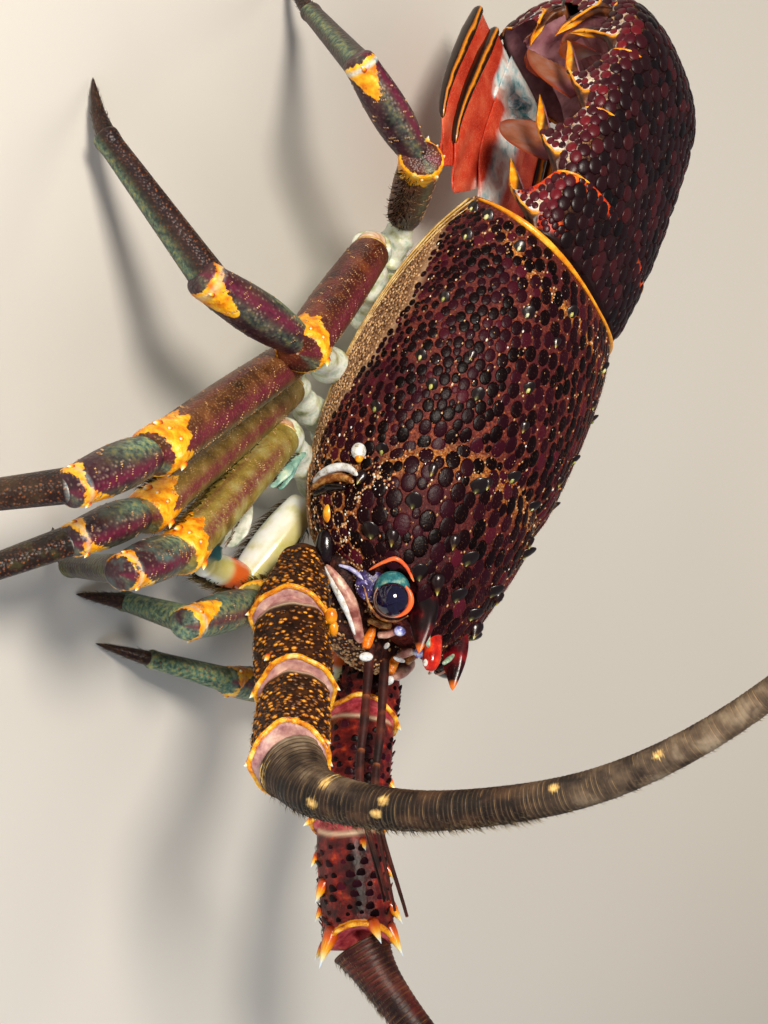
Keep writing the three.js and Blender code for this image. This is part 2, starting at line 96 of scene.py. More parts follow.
LEGS = {  # the hip, then each length with its heading and rise in degrees, then the tip's heading and length
    "right_1": (
        (-9, 30, 17), [(24.7, -176, 14), (46.2, -124, 13), (16.4, -139, 7), (26.4, 16, -61)], (69, 8.5),
    ),
    "right_2": (
        (-11, 41, 16), [(20.9, -177, 8), (57.2, -126, 10), (16.1, -132, -5), (31.8, -116, -41)], (-125, 15.8),
    ),
    "right_3": (
        (-14, 53, 18), [(32, -159, 16), (57.2, -130, 11), (17.9, -129, -5), (36.8, -128, -52)], (-145, 15.8),
    ),
    "right_4": (
        (-17, 65, 18), [(21, 164, 22), (40, -118, 14), (22, -173, -18), (32, 135, -42)], (114, 12),
    ),
    "right_5": (
        (-20, 77, 19), [(11, 123, 16), (34, -166, 35), (20, 161, -18), (33, 72, -49)], (100, 11),
    ),
    "left_1": (
        (9, 30, 16), [(11.6, -73, -26), (37.2, -146, 17), (22.7, -143, 5), (19.3, 37, -78)], (-157, 10.3),
    ),
    "left_2": (
        (11, 41, 17), [(16.1, -45, -14), (37.1, -104, -2), (17.1, -159, 3), (18.7, -164, -19)], (-165, 11.4),
    ),
    "left_3": (
        (14, 53, 18), [(16.1, 0, 7), (39.2, 13, -4), (16.1, 40, -14), (26.6, 90, -20)], (85, 12),
    ),
    "left_4": (
        (17, 65, 18), [(14.6, 12, 12), (38.3, 49, 3), (17.7, 62, -16), (29.3, 81, -26)], (80, 11.2),
    ),
    "left_5": (
        (20, 77, 19), [(13.2, 51, 13), (33, 76, 14), (15.7, 74, -22), (26.3, 81, -43)], (84, 9.1),
    ),
}
WHIP_RADIUS = (4.4, 0.7)
STALKS = {
    "right": [(-17.5, 9, 28), (-22.5, -4.5, 34), (-26, -19, 44), (-38.6, -35.6, 57.6)],
    "left": [(17.5, 9, 28), (15.5, -8, 32.5), (13.8, -30, 40), (20.6, -49.4, 47.6)],
}
WHIPS = {
    "right": [
        (-39, -36.3, 58.5), (-41.2, -40, 66), (-42.3, -39.8, 83), (-43.3, -35.6, 99.7), (-45, -29.4, 115),
        (-48, -20.3, 129), (-52, -8, 142), (-59, 15, 160), (-68, 45, 175), (-76, 80, 183),
    ],
    "left": [
        (21, -50.2, 48.2), (23.2, -54.2, 52.6), (27.5, -60.5, 61.5), (35, -70, 78), (47, -81, 98),
        (62, -90, 117), (80, -95, 134), (98, -96, 146),
    ],
}
ANTENNULE = [(3.4, 1, 40), (3.6, -13, 45), (3.4, -27, 50), (3.2, -46, 64)]
MAXILLIPEDS = {
    "right": [(-12.5, 25, 18.5), (-15.5, 5, 14.5), (-26, 2, 12.5), (-27, 6, 13), (-29, 18, 15.5)],
    "left": [(10, 25, 21), (13.5, 8, 20), (20, 1, 18), (22, 5, 17), (24, 14, 16)],
}
MAXILLIPED_RADIUS = [3.9, 3.5, 2.6, 2]
SIDES = {"right": -1, "left": 1}

low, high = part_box("carapace")
SHIFT = np.array([(low[0] + high[0]) / 2 / MM, high[1] / MM - SHELL_LENGTH - REAR_LOBE, 0.0])
TURN = 2 * math.pi
chance = np.random.default_rng(7)


# Camera: at the photograph's place, in front of the right side and above
CAMERA_AT = np.array([-289.49, -106.92, 230.33])
CAMERA_AXES = [(0.4101, 0.3637, 0.8364), (-0.4985, 0.8573, -0.1283), (-0.7638, -0.3643, 0.5329)]
FOCAL_PIXELS = 1857.6
FRAME_HEIGHT = 1024


def to_metres(points):
    return (np.asarray(points) + SHIFT) * MM


def set_camera():
    camera = bpy.data.objects.new("camera", bpy.data.cameras.new("camera"))
    camera.data.sensor_fit = "AUTO"
    camera.data.sensor_width = 36
    camera.data.lens = 36 * FOCAL_PIXELS / FRAME_HEIGHT
    camera.data.clip_start = 0.01
    axes = Matrix(CAMERA_AXES).transposed().to_4x4()
    camera.matrix_world = Matrix.Translation(to_metres(CAMERA_AT)) @ axes
    bpy.context.scene.collection.objects.link(camera)
    bpy.context.scene.camera = camera


set_camera()


# Materials

def linear(colour):
    """An sRGB hex value as the linear colour that shaders take."""
    parts = [int(colour[i:i + 2], 16) / 255 for i in (1, 3, 5)]
    return [c / 12.92 if c <= 0.04045 else ((c + 0.055) / 1.055) ** 2.4 for c in parts] + [1.0]


def feed(tree, socket, value):
    """Sets an input to a number, a "#" colour, another node's output, "@" and the name of a value that the
    mesh holds, or a pair: a value and the stops of the ramp that it goes through."""
    if isinstance(value, str) and value.startswith("@"):
        value = add_node(tree, "Attribute", out="Fac", attribute_name=value[1:])
    if isinstance(value, tuple):
        value = add_node(tree, "ValToRGB", value[0], stops=value[1])
    if isinstance(value, bpy.types.NodeSocket):
        tree.links.new(value, socket)
    else:
        socket.default_value = linear(value) if isinstance(value, str) else value


def add_node(tree, kind, *inputs, stops="", out=None, **named):
    """A node with its settings and links, as the output that is asked for or else its first. Inputs go to
    the sockets in their order, or by a name with a capital; a name without a capital is a setting."""
    node = tree.nodes.new("ShaderNode" + kind)
    for name in filter(str.islower, named):
        setattr(node, name, named[name])
    sockets = [socket for socket in node.inputs if socket.enabled]
    for socket, value in zip(sockets, inputs):
        feed(tree, socket, value)
    for name in named:
        if not name.islower():
            feed(tree, node.inputs[name], named[name])
    if stops:
        ramp = [stop.split("% ") for stop in stops.split(", ")]
        elements = node.color_ramp.elements
        while len(elements) < len(ramp):
            elements.new(0.5)
        for element, (place, colour) in zip(elements, ramp):
            element.position = float(place) / 100
            element.color = linear(colour)
    return node.outputs[out] if out else next(socket for socket in node.outputs if socket.enabled)


def per_mm(size):
    """The scale of a texture on Object coordinates whose pattern is this many millimetres wide."""
    return 1 / (size * MM)


def start(name):
    """A new material, the function that adds nodes to it, and its Object coordinates."""
    material = bpy.data.materials.new(name)
    material.use_nodes = True
    add = functools.partial(add_node, material.node_tree)
    return material, add, add("TexCoord", out="Object")


def coated(add, ground, *coats):
    """A ground colour under coats, each a mask and a colour."""
    for mask, coat in coats:
        ground = add("Mix", mask, ground, coat, data_type="RGBA")
    return ground


def ragged(add, mask, cloud, amount):
    """A mask whose border a cloud breaks up by an amount."""
    return add("Math", add("Math", cloud, 0.5, operation="SUBTRACT"), amount, mask, operation="MULTIPLY_ADD")


def dress(material, colour, roughness, height=None, depth=0.0, **constants):
    """Sets the shader's colour, its roughness, a bump whose height of 1 stands for a depth in millimetres,
    and its other constants."""
    tree = material.node_tree
    shader = tree.nodes["Principled BSDF"]
    feed(tree, shader.inputs["Base Color"], colour)
    feed(tree, shader.inputs["Roughness"], roughness)
    if height is not None:
        feed(tree, shader.inputs["Normal"], add_node(tree, "Bump", Height=height, Distance=depth * MM))
    for name, value in constants.items():
        shader.inputs[name.replace("_", " ").title().replace("Ior", "IOR")].default_value = value
    return material


EVEN = 0.55  # a cloud's usual roughness
POLISH = {"coat_weight": 0.3, "coat_roughness": 0.15}
FLESH = {"subsurface_weight": 0.1, "subsurface_scale": 0.001}


def felted_shell():
    # Calcified cuticle under a thin brown felt: a matt red-brown net with golden specks, tan side strips
    material, add, place = start("felted calcified cuticle")
    cloud = add("TexNoise", place, per_mm(9), 4, EVEN)
    fine = add("TexNoise", place, per_mm(0.6), 4, 0.7)
    cells = add("TexVoronoi", place, per_mm(0.8))
    rare = (cells.node.outputs["Color"], "70% #000000, 78% #ffffff")
    grain = add("TexVoronoi", place, per_mm(0.5))
    colour = coated(
        add, (fine, "34% #2a0a0e, 50% #64241c, 66% #9a4a2c"),
        ((cloud, "35% #000000, 65% #ffffff"), "#481218"),
        (add("Math", (cells, "10% #ffffff, 26% #000000"), rare, operation="MULTIPLY"), "#b06c38"),
        ("@strip", (grain, "15% #a07c58, 50% #6c4a32, 80% #3c2216")),
        ("@gold", (fine, "35% #4a1c10, 50% #a85e20, 64% #e0a04a")),
        # painted shade: the top of the shell's front darkened nearly to black
        ("@head", (fine, "35% #16050a, 55% #3a0d16, 70% #6a1c24")),
        ("@pale", (cloud, "30% #8d7a5c, 70% #b9ab88")),
        (add("Math", "@top_line", 0.75, operation="MULTIPLY"), "#b99a78"),
    )
    height = add("Math", fine, add("Math", cells, 0.5, operation="MULTIPLY"), operation="ADD")
    return dress(material, colour, 0.6, height, 0.22, specular_ior_level=0.25)


def glossy_tubercle():
    # Bare worn cuticle on the low tubercles: near black with a purple or maroon cast, dully polished
    material, add, place = start("polished tubercle cuticle")
    colour = coated(add, ("@tint", "0% #3a1210, 100% #743020"),
                    (("@rise", "2% #000000, 30% #ffffff"),
                     ("@tint", "0% #080203, 50% #160409, 85% #2a0814, 100% #4c1220")))
    return dress(material, colour, 0.38, add("TexNoise", place, per_mm(0.5), 2, EVEN), 0.08,
                 specular_ior_level=0.12)


def tinted_bead(name, stops, roughness):
    # Bare worn grains, each of one colour out of a few, that catch the light
    material, _, _ = start(name)
    return dress(material, ("@tint", stops), roughness)


def golden_scale():
    # The small scales on the right stalk: dark cuticle whose raised edges are worn to gold and orange
    material, add, place = start("golden stalk scale")
    wear = ragged(add, "@rise", add("TexNoise", place, per_mm(0.9), 3, EVEN), 1.4)
    colour = coated(add, (wear, "30% #140804, 80% #3c1c08, 100% #84501a"),
                    (("@tint", "30% #ffffff, 60% #000000"),
                     (wear, "30% #1c0a04, 60% #6e360a, 85% #b86c0e, 100% #eaa434")))
    return dress(material, colour, 0.4, specular_ior_level=0.3)


def horny_spine(name, stops, roughness=0.28):
    # A spine of hard smooth cuticle: dark at the root, then orange and yellow, with a bluish white tip
    material, add, place = start(name)
    wave = add("Math", add("TexNoise", place, per_mm(1.5), 3, EVEN), 0.5, operation="SUBTRACT")
    wave = add("Math", wave, 0.2, operation="MULTIPLY")
    colour = (add("Math", "@rise", wave, operation="ADD"), stops)
    return dress(material, colour, roughness, add("TexNoise", place, per_mm(0.6), 3, EVEN), 0.05, **POLISH)


def smooth_cuticle(name, stops, size=2.5, roughness=0.3, depth=0.05, grain=0.5, **constants):
    # Smooth hard cuticle, such as rims and blades: satin, clouded between a few near colours
    material, add, place = start(name)
    colour = (add("TexNoise", place, per_mm(size), 4, 0.6), stops)
    fine = add("TexNoise", place, per_mm(grain), 3, EVEN)
    return dress(material, colour, roughness, fine, depth, **constants)


def soft_membrane(name, stops):
    # Flexible joint membrane: matt and a little translucent, finely creased
    material, add, place = start(name)
    colour = (add("TexNoise", place, per_mm(3), 4, EVEN), stops)
    crease = add("TexWave", place, per_mm(3.2), out="Fac", Distortion=6, Detail=3)
    return dress(material, colour, 0.42, crease, 0.12,
                 subsurface_weight=0.25, subsurface_scale=0.0015, subsurface_radius=(1.0, 0.6, 0.4))


def cornea():
    # The eye's clear cornea over black pigment: glassy indigo with faint rays from the centre
    material, add, _ = start("glassy cornea")
    round_it = add("SeparateXYZ", add("UVMap", uv_map="Along"))
    outwards = round_it.node.outputs["Y"]
    stretched = add("CombineXYZ", add("Math", round_it, 30.0, operation="MULTIPLY"),
                    add("Math", outwards, 2.2, operation="MULTIPLY"))
    rays = add("TexNoise", stretched, 1.0, 3)
    colour = coated(add, "#140c0e", ((outwards, "45% #ffffff, 90% #000000"),
                                     (rays, "30% #0a0918, 55% #131130, 80% #1e1c44")))
    return dress(material, colour, 0.09, coat_weight=1.0, coat_roughness=0.02, ior=1.45)


def eye_ring():
    # The hard ring round the cornea: pinkish beige, and glowing orange on its outer side
    material, add, _ = start("eye ring cuticle")
    return dress(material, coated(add, "#c89a84", ("@hot", "#ff6a30")), 0.3)


def horn_enamel(name, stops, gloss):
    # The horns' polished cuticle: deep red like sealing wax, orange at the tip
    material, add, place = start(name)
    along = add("SeparateXYZ", add("UVMap", uv_map="Along"), out="Y")
    streak = add("TexNoise", place, per_mm(3.5), 4, EVEN)
    colour = coated(add, (streak, stops), ((along, "86% #000000, 95% #ffffff"), "#f0782a"))
    return dress(material, colour, gloss, streak, 0.1, specular_ior_level=0.4)


def banded_whip(name, stops, far_stops, line, gloss):
    # The feelers' fine hard rings: each is dark with a thin lighter edge; a dark band runs along them
    material, add, place = start(name)
    cloud = add("TexNoise", place, per_mm(5), 4, EVEN)
    fine = add("TexNoise", place, per_mm(0.9), 3, EVEN)
    patchy = add("TexNoise", place, per_mm(2.2), 3, EVEN)
    edge = ("@ring", "0% #ffffff, 10% #000000, 26% #000000, 36% #888888, 46% #000000")
    colour = coated(
        add, (cloud, stops),
        ("@far", (cloud, far_stops)),
        ((ragged(add, "@band", cloud, 1.1), "50% #000000, 80% #cccccc"), "#0e0706"),
        (add("Math", edge, (patchy, "38% #333333, 58% #ffffff"), operation="MULTIPLY"), line),
        ((ragged(add, "@spot", fine, 0.4), "35% #000000, 85% #ffffff"), (fine, "30% #c08c40, 60% #ecc87c")),
    )
    return dress(material, colour, gloss, fine, 0.08, specular_ior_level=0.35)


def stalk_shell(name, stops, root_stops, dark_share):
    # A stalk segment: clouded dark cuticle, a smooth mauve root with a cream line, an orange far edge, and a
    # share of painted shade along a groove
    material, add, place = start(name)
    fine = add("TexNoise", place, per_mm(0.8), 3, EVEN)
    colour = coated(
        add, (add("TexNoise", place, per_mm(2.2), 4, 0.6), stops),
        # painted shade: a near black stripe where a groove runs down the stalk
        (add("Math", "@dark", dark_share, operation="MULTIPLY"), "#070304"),
        ("@root", (add("TexNoise", place, per_mm(2), 3, EVEN), root_stops)),
        (add("Math", "@line", 0.8, operation="MULTIPLY"), "#e8d0b0"),
        ((ragged(add, "@edge", fine, 0.9), "40% #000000, 60% #ffffff"), "#d98412"),
    )
    return dress(material, colour, 0.42, fine, 0.15, specular_ior_level=0.35)


def leg_shell(name, olive, dark, stripe, speck, cell):
    # A leg's cuticle: clouded and finely granular, with a dull purple stripe, an orange far end whose edge
    # is ragged, green patches and a bluish white line at the joint
    material, add, place = start(name)
    cloud = add("TexNoise", place, per_mm(4.5), 4, EVEN)
    fine = add("TexNoise", place, per_mm(0.9), 3, EVEN)
    warm = add("TexNoise", place, per_mm(2.2), 3, EVEN)
    cells = add("TexVoronoi", place, per_mm(cell))
    streak = add("Math", "@stripe", (fine, "30% #888888, 50% #ffffff"), operation="MULTIPLY")
    dots = add("Math", "@rows", 0.55, 0.14, operation="MULTIPLY_ADD")
    colour = coated(
        add, (cloud, olive),
        ("@tone", (cloud, dark)),
        (add("Math", "@green", 0.75, operation="MULTIPLY"), (fine, "34% #34544a, 50% #6c947c, 66% #b8bc70")),
        (add("Math", streak, 0.9, operation="MULTIPLY"), stripe),
        (add("Math", (cells, "14% #ffffff, 40% #000000"), dots, operation="MULTIPLY"), speck),
        ((ragged(add, "@cuff", fine, 1.6), "40% #000000, 62% #ffffff"),
         (warm, "33% #d4720c, 48% #f6a410, 62% #ffc430, 75% #ffe08a")),
        ("@pale", (fine, "35% #8fb4c0, 60% #e6e4d4")),
    )
    height = add("Math", 1.0, cells, operation="SUBTRACT")
    return dress(material, colour, 0.4, height, 0.12, specular_ior_level=0.4)


def porcelain_shell():
    # The outer jaw limbs' cuticle: white like porcelain, yellow-green along the edges with an orange band
    material, add, place = start("porcelain white cuticle")
    round_it = add("SeparateXYZ", add("UVMap", uv_map="Along"))
    wave = add("Math", add("Math", round_it, TURN, operation="MULTIPLY"), operation="SINE")
    cloud = add("TexNoise", place, per_mm(4), 3, EVEN)
    colour = coated(
        add, (cloud, "35% #d9d8a8, 50% #eef0e2, 65% #f7faf6"),
        (add("Math", (wave, "45% #000000, 85% #ffffff"), 0.7, operation="MULTIPLY"), "#b8ac24"),
        ("@orange", "#d8652a"),
        ("@teal", "#3f8286"),
    )
    grain = add("TexNoise", place, per_mm(0.6), 3, EVEN)
    return dress(material, colour, 0.26, grain, 0.04, **FLESH, **POLISH)


def tail_shell():
    # The tail rings' cuticle: a brown net between the scales, with painted light that makes it pale and
    # bluish on the lower flanks and painted shade that darkens it up the back, red lobes on the first ring,
    # and dark side plates with a gold line and orange points
    material, add, place = start("tail ring cuticle")
    cloud = add("TexNoise", place, per_mm(3), 4, EVEN)
    fine = add("TexNoise", place, per_mm(0.7), 3, EVEN)
    tips = add("TexNoise", place, per_mm(1.6), 3, EVEN)
    colour = coated(
        add, (fine, "34% #2a0c0c, 50% #7a4a30, 66% #c89a5c"),
        # painted shade: the net turns nearly black up the back
        ("@crown", (fine, "30% #080305, 70% #2c100e")),
        # painted light: a pale bluish sheen on the lower flanks and just above the side plates' lines
        (add("Math", "@glow", (fine, "30% #999999, 50% #ffffff"), operation="MULTIPLY"),
         (cloud, "40% #cfe2f4, 60% #f4ead0")),
        ("@red", (cloud, "35% #8a1a0c, 50% #d03a0c, 68% #f87818")),
        ("@front", "#1e0a0c"),
        ("@blade", (cloud, "30% #1d0c0a, 50% #43200f, 70% #7a4214")),
        ("@line", "#e89a1c"),
        ("@tip", (tips, "30% #e87408, 55% #ffa80c, 80% #ffd76a")),
        ("@belly", (cloud, "30% #7c4a54, 70% #b08088")),
    )
    return dress(material, colour, 0.4, fine, 0.06, specular_ior_level=0.35)


def scale_cuticle():
    # The tail's scales: domed polished cuticle, maroon, with painted shade that makes them nearly black on
    # the back
    material, add, place = start("domed scale cuticle")
    top = coated(add, ("@tint", "0% #26060e, 60% #4c0c1a, 100% #74141e"),
                 # painted shade: the scales turn nearly black up the back
                 ("@crown", ("@tint", "0% #0a0406, 70% #220a10, 100% #3c1216")))
    colour = coated(add, "#4a2418", (("@rise", "2% #000000, 22% #ffffff"), top))
    grain = add("TexNoise", place, per_mm(0.7), 3, EVEN)
    return dress(material, colour, 0.36, grain, 0.06, specular_ior_level=0.3)


def fan_plate():
    # The fan's soft part, like fine leather: brick red, fading to pink inwards; hard and bluish white near
    # its root
    material, add, place = start("leathery fan cuticle")
    cloud = add("TexNoise", place, per_mm(7), 4, EVEN)
    cells = add("TexVoronoi", place, per_mm(0.35))
    white = add("TexNoise", place, per_mm(4), 4, EVEN)
    colour = coated(
        add, (cloud, "35% #b42c18, 50% #cc4026, 68% #dc6a48"),
        (add("Math", (cells, "15% #ffffff, 40% #000000"), 0.4, operation="MULTIPLY"), "#f0a080"),
        ((ragged(add, "@pale", cloud, 0.8), "30% #000000, 75% #ffffff"),
         (white, "34% #6ab0b8, 42% #c4dee2, 52% #f2f4f0, 70% #d8b0a4")),
    )
    return dress(material, colour, 0.45, cells, 0.05, specular_ior_level=0.35)


def fan_bar():
    # The hard bars along the fan's outer margins: nearly black and polished, with an orange stripe
    material, add, place = start("hard fan margin")
    round_it = add("SeparateXYZ", add("UVMap", uv_map="Along"))
    wave = add("Math", add("Math", round_it, TURN, operation="MULTIPLY"), operation="SINE")
    wave = ragged(add, wave, add("TexNoise", place, per_mm(3.5), 3, EVEN), 0.4)
    stops = "0% #2a1608, 10% #120b08, 50% #1a0f08, 66% #b8640c, 82% #e8921c, 95% #2a1608"
    return dress(material, (wave, stops), 0.3, coat_weight=0.2, coat_roughness=0.15)


def swimmeret_membrane():
    # Swimmerets: thin soft plates, brownish pink and a little see-through, outlined in rusty brown
    material, add, place = start("swimmeret membrane")
    cloud = add("TexNoise", place, per_mm(4), 3, EVEN)
    colour = coated(add, (cloud, "30% #8a4a30, 50% #b47050, 70% #b08c84"),
                    ("@root", "#96606c"), ("@outline", "#a8440f"))
    return dress(material, colour, 0.35,
                 subsurface_weight=0.25, subsurface_scale=0.0012, transmission_weight=0.25)


def bristle(name, root, tip):
    # Chitin bristles: stiff thin hairs, darker at the root
    material, _, _ = start(name)
    return dress(material, ("@rise", f"10% {root}, 90% {tip}"), 0.5)


def floor_paint():
    # Matt studio paper: pale warm grey, almost even
    material, add, place = start("matt studio paper")
    return dress(material, (add("TexNoise", place, per_mm(300), 2, EVEN), "30% #c9c6bf, 70% #cfccc5"), 0.9)


# The legs' colours: first the clouded ground, then the darker tone of the hind legs
MERUS = "30% #5c4a1c, 50% #8f7c34, 70% #aaa468", "30% #220c0a, 50% #4c1c14, 70% #74381c"
CARPUS = "30% #16222a, 50% #3a1a22, 70% #4a6a66", "30% #180a12, 50% #351320, 68% #4a2a26"
SHANK = "30% #1c2014, 50% #231614, 70% #4c5220", "30% #0f0809, 50% #24120f, 70% #38221a"
LOOKS = {
    # the carapace
    "shell": felted_shell(),
    "tubercle": glossy_tubercle(),
    "granule": tinted_bead(
        "chalky granule",
        "0% #7a5434, 35% #b48a5c, 62% #d0ab7c, 80% #c8702c, 93% #ecd8b4, 100% #e6ecf0", 0.38),
    "pale_spot": tinted_bead("worn pale tubercle tip",
                             "0% #6a7434, 50% #b8b45c, 80% #d8d494, 100% #b4ccd8", 0.3),
    "spine": horny_spine("shell spine cuticle",
                         "0% #14060a, 66% #1c0a0c, 80% #5a4418, 90% #a89c3c, 100% #d8d49a"),
    "low_spine": horny_spine("low pale tipped tubercle",
                             "0% #10060a, 72% #140608, 86% #4c4a24, 100% #c4bc78", 0.36),
    "flame": horny_spine("flame tipped spine cuticle",
                         "0% #7a2010, 30% #e05a12, 55% #ffb01c, 75% #ffe9a0, 92% #dfeefa"),
    "rim": smooth_cuticle("orange rim cuticle", "30% #c9640c, 50% #f09a12, 70% #ffc63c", **POLISH),
    "gold_line": smooth_cuticle("pale gold margin cuticle", "30% #8a6424, 50% #bd9444, 70% #e2c88a"),
    "felt": bristle("short felt hairs", "#3a1a12", "#a06a3c"),
    # the head
    "cornea": cornea(),
    "eye_ring": eye_ring(),
    "ring": smooth_cuticle("orange eye ring", "30% #e0522a, 70% #ff8a4a", roughness=0.25),
    "teal": smooth_cuticle("teal eyestalk cuticle", "30% #17454c, 50% #317c84, 70% #8fae94", 1.4, 0.35, 0.1),
    "purple": smooth_cuticle("violet orbit cuticle", "30% #1a1024, 50% #35265a, 68% #6a62a4, 75% #d8d8ea",
                             1.0, 0.35, 0.1),
    # near black: painted shade for the dark gap of the socket, on the eyestalk's root and the collar behind
    # the eye
    "dark": smooth_cuticle("dark orbit cuticle", "30% #0c0607, 70% #2a1412", 1.5, 0.4, 0.1),
    "horn_left": horn_enamel("red horn cuticle", "34% #140306, 50% #3c060c, 66% #7c0e12", 0.24),
    # the right horn: the same red cuticle painted darker, as painted shade for the shadow in which it lies
    "horn_right": horn_enamel("dark horn cuticle", "34% #0a0205, 52% #1c0408, 68% #5c0c10", 0.34),
    "jet": smooth_cuticle("black orbit knob cuticle", "30% #080306, 55% #12060c, 80% #2a101c", 2.0, 0.2,
                          coat_weight=0.3, coat_roughness=0.08),
    "rostrum": smooth_cuticle("red rostrum cuticle", "30% #8c0f0c, 50% #cf2410, 70% #f0582a", 2.4, 0.18,
                              coat_weight=0.7, coat_roughness=0.05),
    "lilac": smooth_cuticle("lilac orbit rim cuticle", "30% #6a64a0, 50% #a8a6d8, 70% #e4e6f4", 1.4),
    "pearl": smooth_cuticle("pearly violet knob", "30% #3a38a0, 50% #8f92e0, 66% #eef2ff", 1.3, 0.2, 0.03,
                            coat_weight=0.6, coat_roughness=0.05),
    "band": smooth_cuticle("mauve fold cuticle", "30% #7c4238, 44% #b07468, 56% #d0a28c, 68% #ead8bc",
                           2.6, 0.36, 0.1),
    "jade": smooth_cuticle("pale green patch cuticle", "30% #3c5a44, 50% #8fae90, 70% #d4e0cc", 1.0, 0.4),
    "chalk": smooth_cuticle("chalk white worn cuticle", "30% #8d7c68, 42% #d8d6cc, 60% #f4f8fa, 75% #b8cfe0",
                            1.3, 0.34, 0.1),
    "brow": smooth_cuticle("dark brow cuticle", "30% #0c0606, 50% #2a1210, 64% #50281c, 76% #1c1626",
                           1.6, 0.55, 0.3, specular_ior_level=0.25),
    "ember": smooth_cuticle("orange cheek cuticle", "30% #b84408, 50% #f07810, 70% #ffa838", 1.6, 0.3, 0.1),
    "umber": smooth_cuticle("umber fold cuticle", "30% #3c1a0c, 50% #8a4c1a, 70% #d8a45c", 1.4, 0.36, 0.15),
    # the antennae
    "stalk": stalk_shell("brown stalk cuticle", "30% #120703, 50% #2c1407, 70% #4e2a0c",
                         "30% #8c5a60, 50% #b98c88, 70% #d8b8a8", 0.0),
    # the left stalk takes nearly all of the groove's painted shade
    "maroon": stalk_shell("maroon stalk cuticle", "30% #1e0709, 50% #5c1414, 62% #8a2218, 74% #c44a20",
                          "30% #7a1c26, 50% #b0444e, 70% #cc6a62", 0.95),
    "stalk_rim": smooth_cuticle("worn orange stalk rim", "32% #8a3c08, 44% #d87e0e, 56% #ffb820, 70% #ffe49a",
                                1.9, 0.32, 0.12),
    "scale": golden_scale(),
    "whip_right": banded_whip("grey brown whip rings", "36% #0e0806, 50% #241610, 66% #4c3422",
                              "36% #2c221c, 50% #5c4c3c, 66% #8a7a64", "#b8966a", 0.5),
    "whip_left": banded_whip("maroon whip rings", "36% #1c0708, 50% #3a0f10, 66% #5c1c16",
                             "36% #24100e, 50% #44201a, 66% #6a4030", "#b07c34", 0.45),
    "antennule": banded_whip("red brown feeler rings", "36% #1c0807, 50% #34100c, 66% #5a2014",
                             "36% #2a0c08, 50% #4a160e, 66% #6e2a1a", "#8a4a24", 0.6),
    "whip_hair": bristle("pale whip bristles", "#4a3a24", "#a08c68"),
    # the legs and jaws
    "merus": leg_shell("granular thigh cuticle", *MERUS, "#6a1e32", "#c89a5c", 0.5),
    "carpus": leg_shell("purple knee cuticle", *CARPUS, "#641a34", "#9a8470", 0.8),
    "shank": leg_shell("dark shank cuticle", *SHANK, "#1c0f1c", "#b8672c", 0.6),
    "hip": smooth_cuticle("pale hip cuticle",
                          "28% #8a8a4a, 42% #c9cfa8, 55% #e8ece0, 66% #b8ccb8, 78% #d8a898",
                          3.2, 0.34, 0.1, 1.2, **FLESH),
    "joint": soft_membrane("peach joint membrane", "30% #b07a4c, 50% #d8b090, 70% #e8ddc8"),
    "setae": bristle("dark bristle chitin", "#241a0c", "#6a5424"),
    "jaw_pale": soft_membrane("pale jaw blade membrane", "30% #8a9a80, 50% #dcdccc, 70% #f2f4ee"),
    "jaw_teal": soft_membrane("teal jaw blade membrane", "30% #3c6c64, 50% #8ab4a4, 70% #d6e4c8"),
    "porcelain": porcelain_shell(),
    # the tail
    "tail": tail_shell(),
    "tail_scale": scale_cuticle(),
    "fan": fan_plate(),
    "fan_bar": fan_bar(),
    "fan_lump": smooth_cuticle("bluish white fan knobs", "34% #2f8a96, 46% #a8d8e0, 56% #f6faf8, 72% #e8c8b8",
                               2.0, 0.3, 0.1),
    "tail_skin": smooth_cuticle("mauve tail membrane", "30% #5c323c, 50% #8a5a64, 70% #b58a8c",
                                5.0, 0.42, 0.2, 1.2, subsurface_weight=0.15, subsurface_scale=0.001),
    "pleopod": swimmeret_membrane(),
    "floor": floor_paint(),
}


# Making meshes

def hermite(near, slope_in, far, slope_out, t):
    """A smooth stretch from near to far, with the slopes that it has there; t runs from 0 to 1."""
    ease = 2 * t ** 3 - 3 * t ** 2 + 1
    bow_in = t ** 3 - 2 * t ** 2 + t
    bow_out = t ** 3 - t ** 2
    return ease * near + bow_in * slope_in + (1 - ease) * far + bow_out * slope_out


def read_row(rows, place):
    """The rows of a table read smoothly at places along its first column: one array for each column."""
    table = np.array(rows, float)
    last = len(table) - 1
    i = np.clip(np.searchsorted(table[:, 0], place, side="left") - 1, 0, last - 1)
    near, far = table[i], table[i + 1]
    before, after = table[np.maximum(i - 1, 0)], table[np.minimum(i + 2, last)]
    span = (far[:, 0] - near[:, 0])[:, None]
    t = np.clip((place - near[:, 0]) / span[:, 0], 0, 1)[:, None]
    slope_in = (far - before) / (far[:, :1] - before[:, :1]) * span
    slope_out = (after - near) / (after[:, :1] - near[:, :1]) * span
    return hermite(near, slope_in, far, slope_out, t).T


def read_line(rows, share, places=None):
    """Points at shares of a line; places are the shares at which its rows lie, evenly if none are given."""
    if places is None:
        places = np.linspace(0, 1, len(rows))
    return np.stack([np.interp(share, places, rows[:, k]) for k in range(3)], axis=1)


def power(value, exponent):
    return np.sign(value) * np.abs(value) ** exponent


def step(value, first, last):
    """0 below the first value, 1 above the last, and smooth between."""
    t = np.clip((value - first) / (last - first), 0, 1)
    return t * t * (3 - 2 * t)


def rounded(t, squareness):
    """1 along a shape and falling to 0 at both its ends, late if it is to have square ends."""
    return np.sqrt(np.clip(1 - np.abs(2 * t - 1) ** squareness, 0, 1))


def unit(vectors):
    vectors = np.asarray(vectors, float)
    return vectors / np.maximum(np.linalg.norm(vectors, axis=-1, keepdims=True), 1e-9)


def stack(*columns):
    return np.stack(np.broadcast_arrays(*columns), axis=-1)


